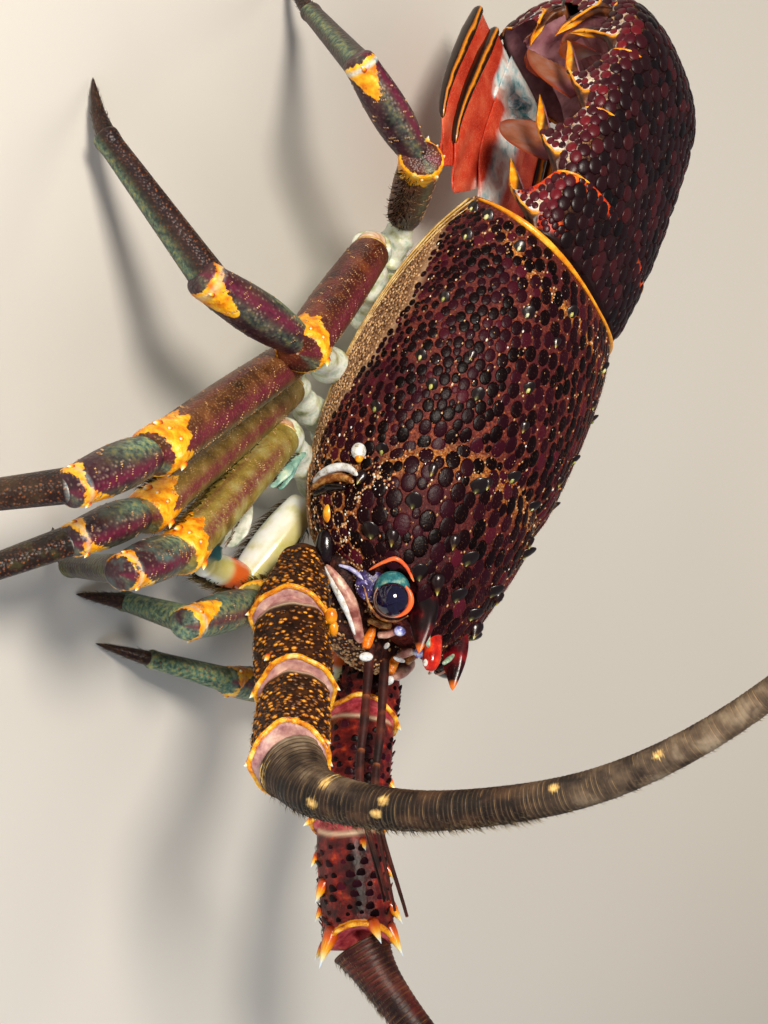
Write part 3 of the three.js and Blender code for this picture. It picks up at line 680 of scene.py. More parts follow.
def wrap(skin, sides, steps, part=0, marks=None):
    """A sheet rolled into a closed skin. skin(along, turn) gives its points in millimetres, marks(along,
    turn) the values that its material reads, by name; open ends are filled."""
    bm = bmesh.new()
    bm.loops.layers.uv.new("Along")
    bmesh.ops.create_grid(bm, x_segments=sides, y_segments=steps, size=0.5, calc_uvs=True)
    flat = np.array([v.co[:] for v in bm.verts])
    along, turn = flat[:, 1] + 0.5, (flat[:, 0] + 0.5) * TURN
    for vertex, point in zip(bm.verts, skin(along, turn)):
        vertex.co = point
    for name, values in (marks(along, turn) if marks else {}).items():
        layer = bm.verts.layers.float.new(name)
        for vertex, value in zip(bm.verts, values):
            vertex[layer] = value
    bmesh.ops.remove_doubles(bm, verts=bm.verts, dist=1e-3)
    bmesh.ops.holes_fill(bm, edges=[e for e in bm.edges if e.is_boundary])
    bmesh.ops.recalc_face_normals(bm, faces=bm.faces)
    for face in bm.faces:
        face.material_index = part
        face.smooth = True
    return bm


def joined(parts):
    """Several bmeshes as one."""
    whole = bmesh.new()
    whole.loops.layers.uv.new("Along")
    names = {key for bm in parts for key in bm.verts.layers.float.keys()}
    for name in sorted(names):
        whole.verts.layers.float.new(name)
    for bm in parts:
        for name in names:
            if name not in bm.verts.layers.float:
                bm.verts.layers.float.new(name)
        mesh = bpy.data.meshes.new("part")
        bm.to_mesh(mesh)
        bm.free()
        whole.from_mesh(mesh)
        bpy.data.meshes.remove(mesh)
    return whole


def place_piece(name, mesh, materials, nodes=()):
    """A mesh as a piece with its looks, in place of the nodes that it shows."""
    piece = bpy.data.objects.new(name, mesh)
    bpy.context.scene.collection.objects.link(piece)
    for key in materials:
        mesh.materials.append(LOOKS[key])
    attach(piece, "root")
    if nodes:
        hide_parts(*nodes)
    return piece


def finish_piece(name, bm, materials, nodes=()):
    """A bmesh in millimetres of the body's frame, moved to its place in metres."""
    mesh = bpy.data.meshes.new(name)
    bm.transform(Matrix.Diagonal((MM, MM, MM, 1)) @ Matrix.Translation(SHIFT))
    bm.to_mesh(mesh)
    bm.free()
    return place_piece(name, mesh, materials, nodes)


def frames_along(points):
    """Side and top at each point of a line, turned as little as possible from one to the next."""
    axis = unit(np.gradient(points, axis=0))
    side = np.zeros_like(axis)
    last = np.cross(axis[0], (0, 0, 1))
    if np.linalg.norm(last) < 0.05:
        last = np.cross(axis[0], (1, 0, 0))
    for i, direction in enumerate(axis):
        last = last - direction * last.dot(direction)
        last = last / np.linalg.norm(last)
        side[i] = last
    return side, np.cross(side, axis)


def resampled(points, count, curved=True):
    """Points at equal steps along a line through a few points."""
    points = np.asarray(points, float)
    if curved:
        points = catmull_rom(points, 24)
    length = np.concatenate([[0], np.cumsum(np.linalg.norm(np.diff(points, axis=0), axis=1))])
    return read_line(points, np.linspace(0, length[-1], count), length)


def catmull_rom(points, per_stretch):
    """The smooth centripetal line through points."""
    points = np.asarray(points, float)
    padded = np.vstack([2 * points[0] - points[1], points, 2 * points[-1] - points[-2]])
    line = []
    t = np.linspace(0, 1, per_stretch, endpoint=False)[:, None]
    for before, near, far, after in zip(padded, padded[1:], padded[2:], padded[3:]):
        pairs = ((before, near), (near, far), (far, after))
        d0, d1, d2 = [max(np.linalg.norm(b - a), 1e-4) ** 0.5 for a, b in pairs]
        slope_in = ((near - before) / d0 - (far - before) / (d0 + d1) + (far - near) / d1) * d1
        slope_out = ((far - near) / d1 - (after - near) / (d1 + d2) + (after - far) / d2) * d1
        line.append(hermite(near, slope_in, far, slope_out, t))
    return np.vstack(line + [points[-1:]])


def along_line(line, radius, flat=1.0):
    """The skin of a tube round a line of points; radius(along, turn) in millimetres."""
    line = np.asarray(line, float)
    side, top = frames_along(line)

    def skin(along, turn):
        width = radius(along, turn)
        across = (np.cos(turn) * width * flat)[:, None] * unit(read_line(side, along))
        upwards = (np.sin(turn) * width)[:, None] * unit(read_line(top, along))
        return read_line(line, along) + across + upwards
    return skin


def strand(points, radius, sides, steps, part=0, flat=1.0, curved=True, round_ends=0.02):
    """A rounded ridge or rod through a few points, its radius read from a list along it."""
    line = resampled(points, steps + 1, curved)
    radii = np.atleast_1d(np.asarray(radius, float))

    def width(along, turn):
        near_cap = np.sqrt(np.clip(1 - (np.maximum(0, round_ends - along) / round_ends) ** 2, 0, 1))
        far_cap = np.sqrt(np.clip(1 - (np.maximum(0, along - 1 + round_ends) / round_ends) ** 2, 0, 1))
        return np.interp(along, np.linspace(0, 1, len(radii)), radii) * (near_cap * far_cap)
    return wrap(along_line(line, width, flat), sides, steps, part)


def on_skin(skin, along, turn):
    """Points of a skin, their outward normals and the direction towards its start."""
    tiny = 1e-3
    points = skin(along, turn)
    ahead = skin(along + tiny, turn) - skin(along - tiny, turn)
    round_it = skin(along, turn + tiny) - skin(along, turn - tiny)
    return points, unit(np.cross(ahead, round_it)), -unit(ahead)


def crowded(grid, key, place, size, packing):
    """Whether a place is too near to one that is already in the grid."""
    for shift in itertools.product((-1, 0, 1), repeat=3):
        near_key = (key[0] + shift[0], key[1] + shift[1], key[2] + shift[2])
        for x, y, z, other in grid.get(near_key, ()):
            reach = (other + size) * packing
            if (x - place[0]) ** 2 + (y - place[1]) ** 2 + (z - place[2]) ** 2 < reach * reach:
                return True
    return False


def sown(skin, count, room, first=0.0, last=1.0, turn_from=0.0, turn_to=TURN, *, packing):
    """Random places on a skin, none nearer to another than their rooms allow; room(points, along, turn)
    is each place's radius in millimetres, and 0 where nothing grows. The larger ones settle first."""
    along = chance.uniform(first, last, count)
    turn = chance.uniform(turn_from, turn_to, count)
    points = skin(along, turn)
    size = room(points, along, turn)
    order = np.argsort(-size)
    cell = 2.0 * max(size.max(), 0.05) * packing
    grid = {}
    kept = []
    for i in order:
        if size[i] <= 0:
            break
        x, y, z = points[i]
        key = (int(x // cell), int(y // cell), int(z // cell))
        if not crowded(grid, key, (x, y, z), size[i], packing):
            grid.setdefault(key, []).append((x, y, z, size[i]))
            kept.append(i)
    kept = np.array(kept, int)
    return along[kept], turn[kept], size[kept]


def template(bm):
    """The arrays of a small shape that is copied many times."""
    bmesh.ops.recalc_face_normals(bm, faces=bm.faces)
    bm.verts.index_update()
    points = np.array([v.co[:] for v in bm.verts])
    faces = [[v.index for v in f.verts] for f in bm.faces]
    bm.free()
    return points, faces


def dome_shape(sides=12, bands=6):
    """The upper part of a ball of radius 1, flat below."""
    bm = bmesh.new()
    bmesh.ops.create_uvsphere(bm, u_segments=sides, v_segments=bands, radius=1)
    doomed = [v for v in bm.verts if v.co.z < -0.45]
    bmesh.ops.delete(bm, geom=doomed, context="VERTS")
    bmesh.ops.holes_fill(bm, edges=[e for e in bm.edges if e.is_boundary])
    return template(bm)


def bead_shape():
    bm = bmesh.new()
    bmesh.ops.create_icosphere(bm, subdivisions=1, radius=1)
    return template(bm)


def thorn_shape(sides=7, rings=5, lean=0.35, fullness=0.35):
    """A spine of height 1 and base radius 1 that leans towards +y at its tip; its sides swell out."""
    bm = bmesh.new()
    bmesh.ops.create_cone(bm, cap_ends=True, segments=sides, radius1=1, radius2=0.02, depth=1)
    bmesh.ops.translate(bm, verts=bm.verts, vec=(0, 0, 0.5))
    long_edges = [e for e in bm.edges if abs(e.verts[0].co.z - e.verts[1].co.z) > 0.5]
    bmesh.ops.subdivide_edges(bm, edges=long_edges, cuts=rings, use_grid_fill=True)
    for v in bm.verts:
        swell = 1 + fullness * math.sin(math.pi * min(1, v.co.z * 1.12))
        v.co.x *= swell
        v.co.y = v.co.y * swell + lean * v.co.z ** 2
    return template(bm)


def hair_shape():
    """A thin three-sided hair of height 1 that bends towards +y."""
    bm = bmesh.new()
    bmesh.ops.create_cone(bm, cap_ends=True, segments=3, radius1=0.05, radius2=0.005, depth=1)
    bmesh.ops.translate(bm, verts=bm.verts, vec=(0, 0, 0.5))
    long_edges = [e for e in bm.edges if abs(e.verts[0].co.z - e.verts[1].co.z) > 0.5]
    bmesh.ops.subdivide_edges(bm, edges=long_edges, cuts=1)
    for v in bm.verts:
        v.co.y += 0.5 * v.co.z ** 2
    return template(bm)


PATCH = 0.0015  # how far one copy reaches on the map, of the map's width
MAP_MARGIN = 0.005
LIP = 0.9  # the share of a limb part's skin that is its outside: the rest folds in at the far end
DOME = dome_shape()
SMALL_DOME = dome_shape(7, 5)
BEAD = bead_shape()
THORN = thorn_shape()
HAIR = hair_shape()


def strewn(name, shape, groups, material):
    """Copies of a small shape, joined in one piece. Each group has roots in millimetres, their normals and
    headings, sizes (across, ahead, up), places on the skin's unwrap, and values for the material."""
    points, faces = shape
    corner_count = np.array([len(f) for f in faces])
    corners = np.concatenate([np.array(f) for f in faces])
    all_points, all_roots = [], []
    all_marks = {}
    for group in groups:
        normal = unit(group["normal"])
        uphill = np.sum(group["heading"] * normal, axis=1, keepdims=True)
        heading = unit(group["heading"] - normal * uphill)
        side = np.cross(heading, normal)
        size = np.broadcast_to(np.asarray(group["size"], float), (len(normal), 3))
        axes = np.stack([side * size[:, :1], heading * size[:, 1:2], normal * size[:, 2:]], axis=1)
        all_points.append(np.einsum("vk,nkx->nvx", points, axes) + np.asarray(group["root"])[:, None])
        all_roots.append(np.asarray(group["unwrap"]))
        for key, value in group.get("marks", {}).items():
            all_marks.setdefault(key, []).append(np.broadcast_to(value, (len(normal),)))
    placed = np.concatenate(all_points)
    roots = np.concatenate(all_roots)
    count = len(placed)
    mesh = bpy.data.meshes.new(name)
    mesh.vertices.add(count * len(points))
    mesh.vertices.foreach_set("co", to_metres(placed.reshape(-1, 3)).ravel())
    offsets = (np.arange(count) * len(points))[:, None]
    mesh.loops.add(count * len(corners))
    mesh.loops.foreach_set("vertex_index", (corners[None] + offsets).ravel().astype(np.int32))
    starts = np.concatenate([[0], np.cumsum(corner_count)[:-1]])
    mesh.polygons.add(count * len(faces))
    begin = (starts[None] + (np.arange(count) * len(corners))[:, None]).ravel()
    mesh.polygons.foreach_set("loop_start", begin.astype(np.int32))
    mesh.polygons.foreach_set("use_smooth", np.ones(count * len(faces), bool))
    mesh.update(calc_edges=True)
    # Each copy is a small patch of the map, at the place where it grows
    patch = (points[corners][:, :2] / max(np.abs(points[:, :2]).max(), 1e-6)) * PATCH
    unwrap = np.clip(roots[:, None] * (1 - 2 * MAP_MARGIN) + MAP_MARGIN + patch[None], 0, 1)
    mesh.uv_layers.new(name="OFBake").data.foreach_set("uv", unwrap.ravel())
    rise = np.tile(points[:, 2] / points[:, 2].max(), count)
    mesh.attributes.new("rise", "FLOAT", "POINT").data.foreach_set("value", rise)
    for key, values in all_marks.items():
        spread = np.repeat(np.concatenate(values), len(points))
        mesh.attributes.new(key, "FLOAT", "POINT").data.foreach_set("value", spread)
    return place_piece(name, mesh, [material])


def sprouting(skin, along, turn, size, sink=0.0, **marks):
    """A group of copies at places of a skin, ready for strewn."""
    root, normal, heading = on_skin(skin, along, turn)
    unwrap = stack(np.mod(turn, TURN) / TURN, np.clip(along, 0, 1))
    return {"root": root - normal * np.reshape(sink, (-1, 1)), "normal": normal, "heading": heading,
            "size": size, "unwrap": unwrap, "marks": marks}


def straight_skin(start_at, end_at, flat):
    """The skin of a straight limb from joint to joint. Each call gives its radius and its sway upwards."""
    first, last = np.asarray(start_at, float), np.asarray(end_at, float)
    axis = unit(last - first)
    side = unit(np.cross(axis, (0, 0, 1)))
    top = np.cross(side, axis)

    def skin(along, turn, width, sway=0.0):
        middle = first + np.outer(along, last - first) + np.outer(np.broadcast_to(sway, along.shape), top)
        return middle + (np.cos(turn) * width * flat)[:, None] * side + (np.sin(turn) * width)[:, None] * top
    return skin


def hoop(skin, along, lift, radius, part, sides, steps, sway=0.0):
    """A rounded rim round a skin at one place along it."""
    turns = np.linspace(0, TURN, steps + 1)
    points, normals, headings = on_skin(skin, along + sway * np.cos(turns), turns)
    line = points + normals * lift

    def rim(share, turn):
        outwards = read_line(normals, share) * (np.cos(turn) * radius)[:, None]
        onwards = read_line(headings, share) * (np.sin(turn) * radius)[:, None]
        return read_line(line, share) + outwards + onwards
    return wrap(rim, sides, steps, part)


def leaning(group, lean, back=True):
    """The copies of a group leant along their skin, towards its far end or else its start."""
    heading = -group["heading"] if back else group["heading"]
    return {**group, "normal": unit(group["normal"] + heading * lean), "heading": heading}


def spikes(skin, places, radius, length, lean):
    """Single spines at (along, turn) places of a skin, which lean towards its far end."""
    along, turn = np.array(places, float).T
    return leaning(sprouting(skin, along, turn, (radius, radius, length), radius * 0.4), lean)


def fringe(skin, count, middle, spread, length, lean=0.6, first=0.08, last=0.88):
    """Bristles along a line of a skin, which lean towards its far end."""
    along = chance.uniform(first, last, count)
    turn = chance.normal(middle, spread, count)
    long = length * chance.uniform(0.55, 1.15, count)
    group = sprouting(skin, along, turn, stack(long, long * 1.2, long), 0.05)
    group["normal"] = group["normal"] + chance.normal(0, 0.12, (count, 3))
    return leaning(group, lean)


# The carapace

# Along the shell: the turn of its side margin, and of the upper edge of the granular strip above it
MARGIN = [(0.0, -50), (0.2, -50), (0.3, -47), (0.43, -40), (0.52, -28), (0.64, -19), (0.82, -9), (1.0, 1)]
STRIP_TOP = [
    (0.0, -44), (0.2, -36), (0.29, -27), (0.39, -13), (0.51, -2), (0.67, 3), (0.8, 0), (0.91, -3), (1.0, 2),
]
BIG_TUBERCLES = [  # y, turn, length, radius: the ones that stand out behind the head
    (82, 4, 1.6, 1.3), (81.5, 14, 1.6, 1.3), (75.7, 11, 1.8, 1.3), (61.7, 17, 1.8, 1.2),
    (49.2, 19, 1.8, 1.2), (44.9, 28, 2.0, 1.2), (37.2, 9, 1.8, 1.2), (30.7, 17, 2.0, 1.3),
    (55.5, 66, 1.9, 1.3), (47.7, 47, 2.2, 1.4), (16.4, 17, 2.6, 1.8), (24, 38, 2.4, 1.7),
    (21, 76, 2.6, 1.8), (33, 64, 2.4, 1.8), (40, 80, 2.0, 1.6), (68, 52, 1.8, 1.4),
    (76, 72, 1.8, 1.4), (79, 36, 1.7, 1.3), (13.5, 48, 3.0, 1.8), (14.4, 80, 2.8, 1.7),
]


def signed(turn):
    """A turn round the shell as degrees up from the side, the same on both sides: -90 below, 90 above."""
    return np.degrees(np.arcsin(np.sin(turn)))


def edge_of(table, along):
    return np.interp(along, *zip(*table))


def on_side(degrees, hand):
    """The turn of a place this many degrees up from the side, on the right (-1) or the left (1)."""
    turn = np.radians(degrees)
    return np.where(np.asarray(hand) > 0, turn, math.pi - turn)


def both_sides(rows):
    """A table's spines on the right and on the left: places along and round the shell, lengths and radii."""
    y, degrees, length, radius = np.repeat(np.array(rows, float), 2, axis=0).T
    along = (y - SHELL_FRONT) / (SHELL_LENGTH - SHELL_FRONT)
    return along, on_side(degrees, np.tile([-1, 1], len(rows))), length, radius


def socket_centre(hand):
    return np.array([hand * EYE[0], EYE[1] - 1, EYE[2]])


def neck_groove(turn):
    """Where the groove behind the head lies round the shell, as y."""
    return 40 - 16 * (1 - np.maximum(np.sin(turn), 0)) ** 1.5


def shell_skin(along, turn):
    """The plain shape of the carapace, as in the solids."""
    cosine, sine = np.cos(turn), np.sin(turn)
    upper = np.maximum(sine, 0)
    rear = SHELL_LENGTH + REAR_LOBE * (1 - upper) ** 0.8 * np.where(sine > -0.6, 1, 0.4)
    y = SHELL_FRONT + along * (rear - SHELL_FRONT)
    place = SHELL_FRONT + along * (SHELL_LENGTH - SHELL_FRONT)
    _, half_width, level, crown, keel = read_row(SHELL_STATIONS, place)
    groove = 1 - 0.045 * np.exp(-(((y - neck_groove(turn)) / 3.2) ** 2)) * (sine > 0)
    height = np.where(sine > 0, (crown - level) * groove, level - keel)
    x = half_width * power(cosine, np.where(sine > 0, 0.92, 0.6)) * np.where(sine > 0, groove, 1)
    z = level + height * power(sine, np.where(sine > 0, 0.96, 0.75))
    return stack(x, y, z)


def strip_share(along, turn):
    """1 on the granular strip above the side margin."""
    degrees = signed(turn)
    low_edge, top = edge_of(MARGIN, along), edge_of(STRIP_TOP, along)
    return step(degrees, low_edge - 2, low_edge) * (1 - step(degrees, top - 2, top + 2))


def shell_marks(along, turn):
    """What the shell's material reads: its strips, golden places, painted shade over the top of its front,
    and pale margins.
    """
    degrees = signed(turn)
    y = shell_skin(along, turn)[:, 1]
    above = degrees - edge_of(STRIP_TOP, along)
    groove = np.exp(-(((y - neck_groove(turn) + 3) / 3.0) ** 2)) * step(degrees, 4, 20)
    rear_line = np.exp(-(((y - (83 - 7 * step(degrees, 20, 60))) / 1.3) ** 2)) * step(degrees, 15, 30)
    cheek = (1 - step(y, 28, 34)) * (1 - step(degrees, 2, 16)) * step(along, 0.03, 0.08)
    pale_line = np.exp(-((above / 2.2) ** 2)) * step(along, 0.3, 0.4)
    top_line = np.exp(-(((above - 1.0) / 1.6) ** 2)) * step(along, 0.3, 0.42)
    return {
        "strip": strip_share(along, turn),
        "gold": np.clip(0.75 * groove + 0.95 * rear_line + 0.7 * cheek + 0.2 * pale_line, 0, 1),
        # painted shade on top of the front, beside the horns
        "head": (1 - step(y, 16, 36)) * step(degrees, 2, 20) * 0.85,
        "top_line": top_line * (1 - step(along, 0.8, 0.95)),
        "pale": (1 - step(degrees - edge_of(MARGIN, along), -5, -2)) * step(along, 0.2, 0.3),
    }


def shell_detail(along, turn):
    """The carapace with its margin undercut and its eye sockets hollowed out."""
    points = shell_skin(along, turn)
    below = signed(turn) - edge_of(MARGIN, along)
    under = (1 - step(below, -9, -1)) * 2.0
    points[:, 0] -= np.sign(points[:, 0]) * np.minimum(under, np.abs(points[:, 0]) * 0.5)
    for hand in (-1, 1):
        inward = unit(np.array([-hand * 0.75, 0.55, -0.35]))
        offset = points - socket_centre(hand)
        gap = np.sum(offset ** 2, axis=1)
        ahead = offset @ inward
        push = -ahead + np.sqrt(np.maximum(ahead ** 2 - gap + SOCKET ** 2, 0))
        points = points + ((gap < SOCKET ** 2) * push)[:, None] * inward
    return points


def make_carapace():
    shell = wrap(shell_detail, 190, 210, 0, shell_marks)
    finish_piece("carapace_shell", shell, ["shell"], ["carapace"])


def make_shell_rims():
    """The smooth orange rim of the rear edge, and thin pale gold lines along each side margin."""
    turn = np.radians(np.linspace(2, 178, 60))
    points, normals, _ = on_skin(shell_skin, np.full(60, 0.993), turn)
    radii = [0.3, 0.45, 0.7, 0.75, 0.62, 0.42, 0.36, 0.36, 0.42, 0.62, 0.75, 0.7, 0.45, 0.3]
    rear = strand(points + normals * 0.1, radii, 10, 160, round_ends=0.01)
    finish_piece("carapace_rear_rim", rear, ["rim"])
    lines = []
    for hand in (-1, 1):
        along = np.linspace(0.995, 0.24, 60)
        for offset, radius in ((0.0, 0.2), (2.6, 0.15), (-3.0, 0.25)):
            turn = on_side(edge_of(MARGIN, along) + offset, hand)
            points, normals, _ = on_skin(shell_skin, along, turn)
            radii = [radius, radius, radius * 0.6]
            lines.append(strand(points + normals * 0.04, radii, 6, 150, curved=False))
    finish_piece("carapace_margin_lines", joined(lines), ["gold_line"])


def clear_of_sockets(points, margin=0.8):
    clear = np.ones(len(points), bool)
    for hand in (-1, 1):
        clear &= np.sum((points - socket_centre(hand)) ** 2, axis=1) > (SOCKET + margin) ** 2
    return clear


def make_tubercles():
    """Low polished ovals packed in a net: small in rows beside the strips, larger up the back."""
    big_along, big_turn, _, _ = both_sides(BIG_TUBERCLES)
    big = shell_skin(big_along, big_turn)

    def room(points, along, turn):
        degrees = signed(turn)
        above = degrees - edge_of(STRIP_TOP, along)
        size = 0.6 + 0.3 * step(above, 4, 22) + 0.34 * step(above, 22, 70)
        size += 0.22 * (1 - step(points[:, 1], 20, 45)) * step(above, 20, 50)
        size *= chance.uniform(0.62, 1.3, len(size))
        near_big = np.min(np.linalg.norm(points[:, None] - big[None], axis=2), axis=1) < size + 1.2
        grows = (above > 1) & clear_of_sockets(points) & (along > 0.02) & (along < 0.97) & ~near_big
        return np.where(grows, size, 0)
    along, turn, size = sown(shell_skin, 70000, room, packing=0.87)
    sizes = stack(size * 0.92, size * 1.2, 0.06 + size * 0.115)
    group = sprouting(shell_skin, along, turn, sizes, 0.02, tint=chance.random(len(size)))
    strewn("carapace_tubercles", DOME, [group], "tubercle")
    spot = chance.uniform(0.8, 1.2, len(big))
    sizes = stack(spot * 0.4, spot * 0.75, spot * 0.42)
    spots = sprouting(shell_skin, big_along, big_turn, sizes, tint=chance.random(len(big)))
    spots["root"] += spots["heading"] * 0.5 + spots["normal"] * 0.34
    strewn("carapace_spots", BEAD, [spots], "pale_spot")


def make_shell_granules():
    """Chalky beads: packed along the side strips, and scattered specks between the tubercles."""
    def strip_room(points, along, turn):
        inside = strip_share(along, turn) > 0.5
        return np.where(inside, chance.uniform(0.17, 0.27, len(along)), 0)

    def speck_room(points, along, turn):
        degrees = signed(turn)
        marks = shell_marks(along, turn)
        likely = 0.12 + 0.95 * marks["gold"]
        wanted = (chance.random(len(along)) < likely) & clear_of_sockets(points, 0.3)
        wanted &= (strip_share(along, turn) < 0.5) & (degrees > edge_of(MARGIN, along) + 1)
        return np.where(wanted, chance.uniform(0.12, 0.26, len(along)), 0)

    groups = []
    for room, count, height, tint in ((strip_room, 90000, 0.7, 0.72), (speck_room, 20000, 1.0, 1.0)):
        along, turn, size = sown(shell_skin, count, room, packing=0.98)
        sizes = stack(size, size * chance.uniform(1.1, 1.9, len(size)), size * height)
        shade = chance.random(len(size)) ** 1.4 * tint
        groups.append(sprouting(shell_skin, along, turn, sizes, 0, tint=shade))
    strewn("carapace_granules", BEAD, groups, "granule")


def make_shell_felt():
    """Short hairs of the felt, which lie forwards between the tubercles."""
    def room(points, along, turn):
        grows = (signed(turn) > edge_of(STRIP_TOP, along)) & clear_of_sockets(points)
        return np.where(grows, 0.34, 0)
    along, turn, _ = sown(shell_skin, 40000, room, packing=0.8)
    length = chance.uniform(0.35, 0.75, len(along))
    sizes = stack(length, length * 1.6, length * 0.8)
    group = sprouting(shell_skin, along, turn, sizes, tint=chance.random(len(along)))
    group["heading"] = group["heading"] + chance.normal(0, 0.4, (len(along), 3))
    strewn("carapace_felt", HAIR, [group], "felt")


def make_shell_spines():
    """The larger spines, which lean forwards, each with its pale tip."""
    along, turn, length, radius = both_sides(BIG_TUBERCLES)
    low = sprouting(shell_skin, along, turn, stack(radius * 0.8, radius * 1.1, length * 0.62), 0.2)
    low = leaning(low, 0.8, back=False)
    strewn("carapace_big_tubercles", thorn_shape(14, 9, 0.5, 0.9), [low], "low_spine")
    along, turn, length, radius = both_sides(SHELL_SPINES)
    tall = sprouting(shell_skin, along, turn, stack(radius * 0.8, radius * 0.95, length * 0.72), 0.3)
    tall = leaning(tall, 0.9, back=False)
    strewn("carapace_spines", thorn_shape(12, 8, 0.6), [tall], "spine")


make_carapace()
make_shell_rims()
make_tubercles()
make_shell_granules()
make_shell_felt()
make_shell_spines()


# The head

EYE_RADIUS = 3.3
EYE_RING_STEPS = 96
EYE_AT = (13.55, 7.05, 47.3)
VIEW = np.array([-0.76, -0.36, 0.53])  # from the right side of the head towards the camera
OUTER_FACE = [  # the right side's small pieces between eye and antenna: points, radii, material
    # cream edge
    ([(-19.2, 8.9, 34.0), (-17.0, 6.6, 35.9), (-14.8, 4.1, 38.0), (-12.0, 1.6, 39.6), (-10.0, -0.2, 40.3)],
     [0.3, 0.8, 0.8, 0.55, 0.3], "chalk"),
    # brow ridge
    ([(-9.5, 3.6, 41.2), (-7.6, 4.0, 42.6), (-5.9, 4.6, 44.6)], [0.6, 0.95, 0.8], "umber"),
    # socket edge
    ([(-16.4, 7.4, 42.2), (-14.6, 4.6, 43.8), (-12.0, 3.4, 45.4), (-9.6, 4.4, 47.6), (-8.4, 7.0, 49.4)],
     [0.15, 0.25, 0.28, 0.25, 0.15], "umber"),
    # mauve band
    ([(-19.3, 9.2, 34.2), (-16.8, 7.3, 36.4), (-13.7, 4.7, 38.7), (-10.5, 1.6, 40.0), (-7.6, -0.7, 40.6)],
     [0.5, 1.3, 1.6, 1.35, 0.9], "band"),
    # lilac rim
    ([(-18.0, 10.1, 35.9), (-16.7, 10.3, 37.9), (-15.6, 9.5, 40.2), (-14.6, 8.3, 41.9)],
     [0.3, 0.5, 0.55, 0.35], "lilac"),
    # orbit rim
    ([(-16.6, 10.7, 41.9), (-17.4, 12.5, 44.9), (-17.2, 13.7, 47.0),
      (-15.5, 13.3, 48.6), (-13.2, 11.4, 50.2)],
     [0.2, 0.34, 0.45, 0.34, 0.2], "ring"),
    # orange block
    ([(-6.2, 3.8, 40.9), (-5.8, 2.4, 40.7), (-5.7, 0.8, 40.6), (-5.6, -0.9, 40.8)],
     [0.6, 1.0, 1.15, 0.8], "ember"),
    # pink ridge
    ([(-5.0, 2.6, 41.6), (-4.2, 3.4, 43.0), (-4.3, 4.4, 45.0)], [0.7, 0.9, 0.7], "band"),
    # green streak
    ([(-6.9, 6.4, 52.2), (-5.2, 4.4, 52.4), (-3.6, 2.7, 52.6)], [0.3, 0.6, 0.4], "jade"),
    # white arc
    ([(-23.2, 23.9, 26.5), (-25.3, 25.1, 29.1), (-26.3, 26.3, 32.1),
      (-26.4, 26.6, 35.0), (-26.6, 25.3, 38.0)],
     [0.45, 0.75, 0.9, 0.85, 0.5], "chalk"),
    # dark arc
    ([(-22.9, 21.7, 27.5), (-24.5, 22.7, 31.6), (-25.0, 23.2, 35.5)], [0.5, 1.15, 0.6], "jet"),
    # brown fold
    ([(-23.2, 22.6, 26.6), (-25.1, 24.0, 30.3), (-25.8, 24.8, 34.2), (-26.0, 24.0, 37.4)],
     [0.5, 0.9, 0.9, 0.5], "umber"),
]
RIDGE_STEP = 0.16  # mm between the rings of a ridge's mesh
BEAD_TRIES = 24000  # places on the shell of which the nearest keep a granule
BACKWARDS = (-0.5, 0.86, -0.13)
ALONGSIDE = (0.41, 0.36, 0.84)
OUTER_KNOBS = [  # centre, half sizes across, deep and long, long axis, material
    ((-18.5, 12.5, 32.1), (2.0, 1.8, 4.1), BACKWARDS, "jet"),
    ((-22.1, 18.5, 31.9), (1.0, 0.8, 1.8), BACKWARDS, "rim"),
    ((-26.8, 30.3, 36.1), (1.45, 1.3, 1.6), BACKWARDS, "chalk"),
    ((-26.5, 29.0, 36.6), (0.8, 0.7, 0.9), BACKWARDS, "rim"),
    ((-5.3, -2.3, 41.4), (0.9, 0.8, 1.35), ALONGSIDE, "chalk"),
    ((-4.7, 4.5, 45.9), (1.05, 1.0, 1.2), ALONGSIDE, "pearl"),
    ((-3.0, 1.6, 43.3), (0.5, 0.5, 1.3), (-0.75, 0.1, 0.65), "chalk"),
    ((-1.6, 0.3, 52.0), (0.45, 0.4, 0.7), BACKWARDS, "chalk"),
    ((-14.0, 9.1, 41.5), (2.7, 1.2, 3.3), BACKWARDS, "purple"),
]
FACE_BEADS = [  # centre of a patch of granules, its radius, their number
    ((-24.9, 26.2, 41.6), 3.6, 60), ((-24.5, 22.0, 38.0), 3.4, 40), ((-9.5, 6.5, 40.0), 4.4, 46),
    ((-16.5, 9.5, 37.0), 3.0, 30), ((-20.5, 14.5, 36.5), 4.0, 40),
]


def ball_skin(centre, half, axis, aside=VIEW):
    """The skin of a ball stretched along an axis, its poles on that axis. Its first half size lies at right
    angles to the axis and to the direction aside."""
    axis = unit(axis)
    side = unit(np.cross(axis, aside))
    top = np.cross(side, axis)

    def skin(along, turn):
        ring = np.sin(math.pi * along)
        across = (np.cos(turn) * ring * half[0])[:, None] * side
        return centre + across + (np.sin(turn) * ring * half[1])[:, None] * top \
            - (np.cos(math.pi * along) * half[2])[:, None] * axis
    return skin


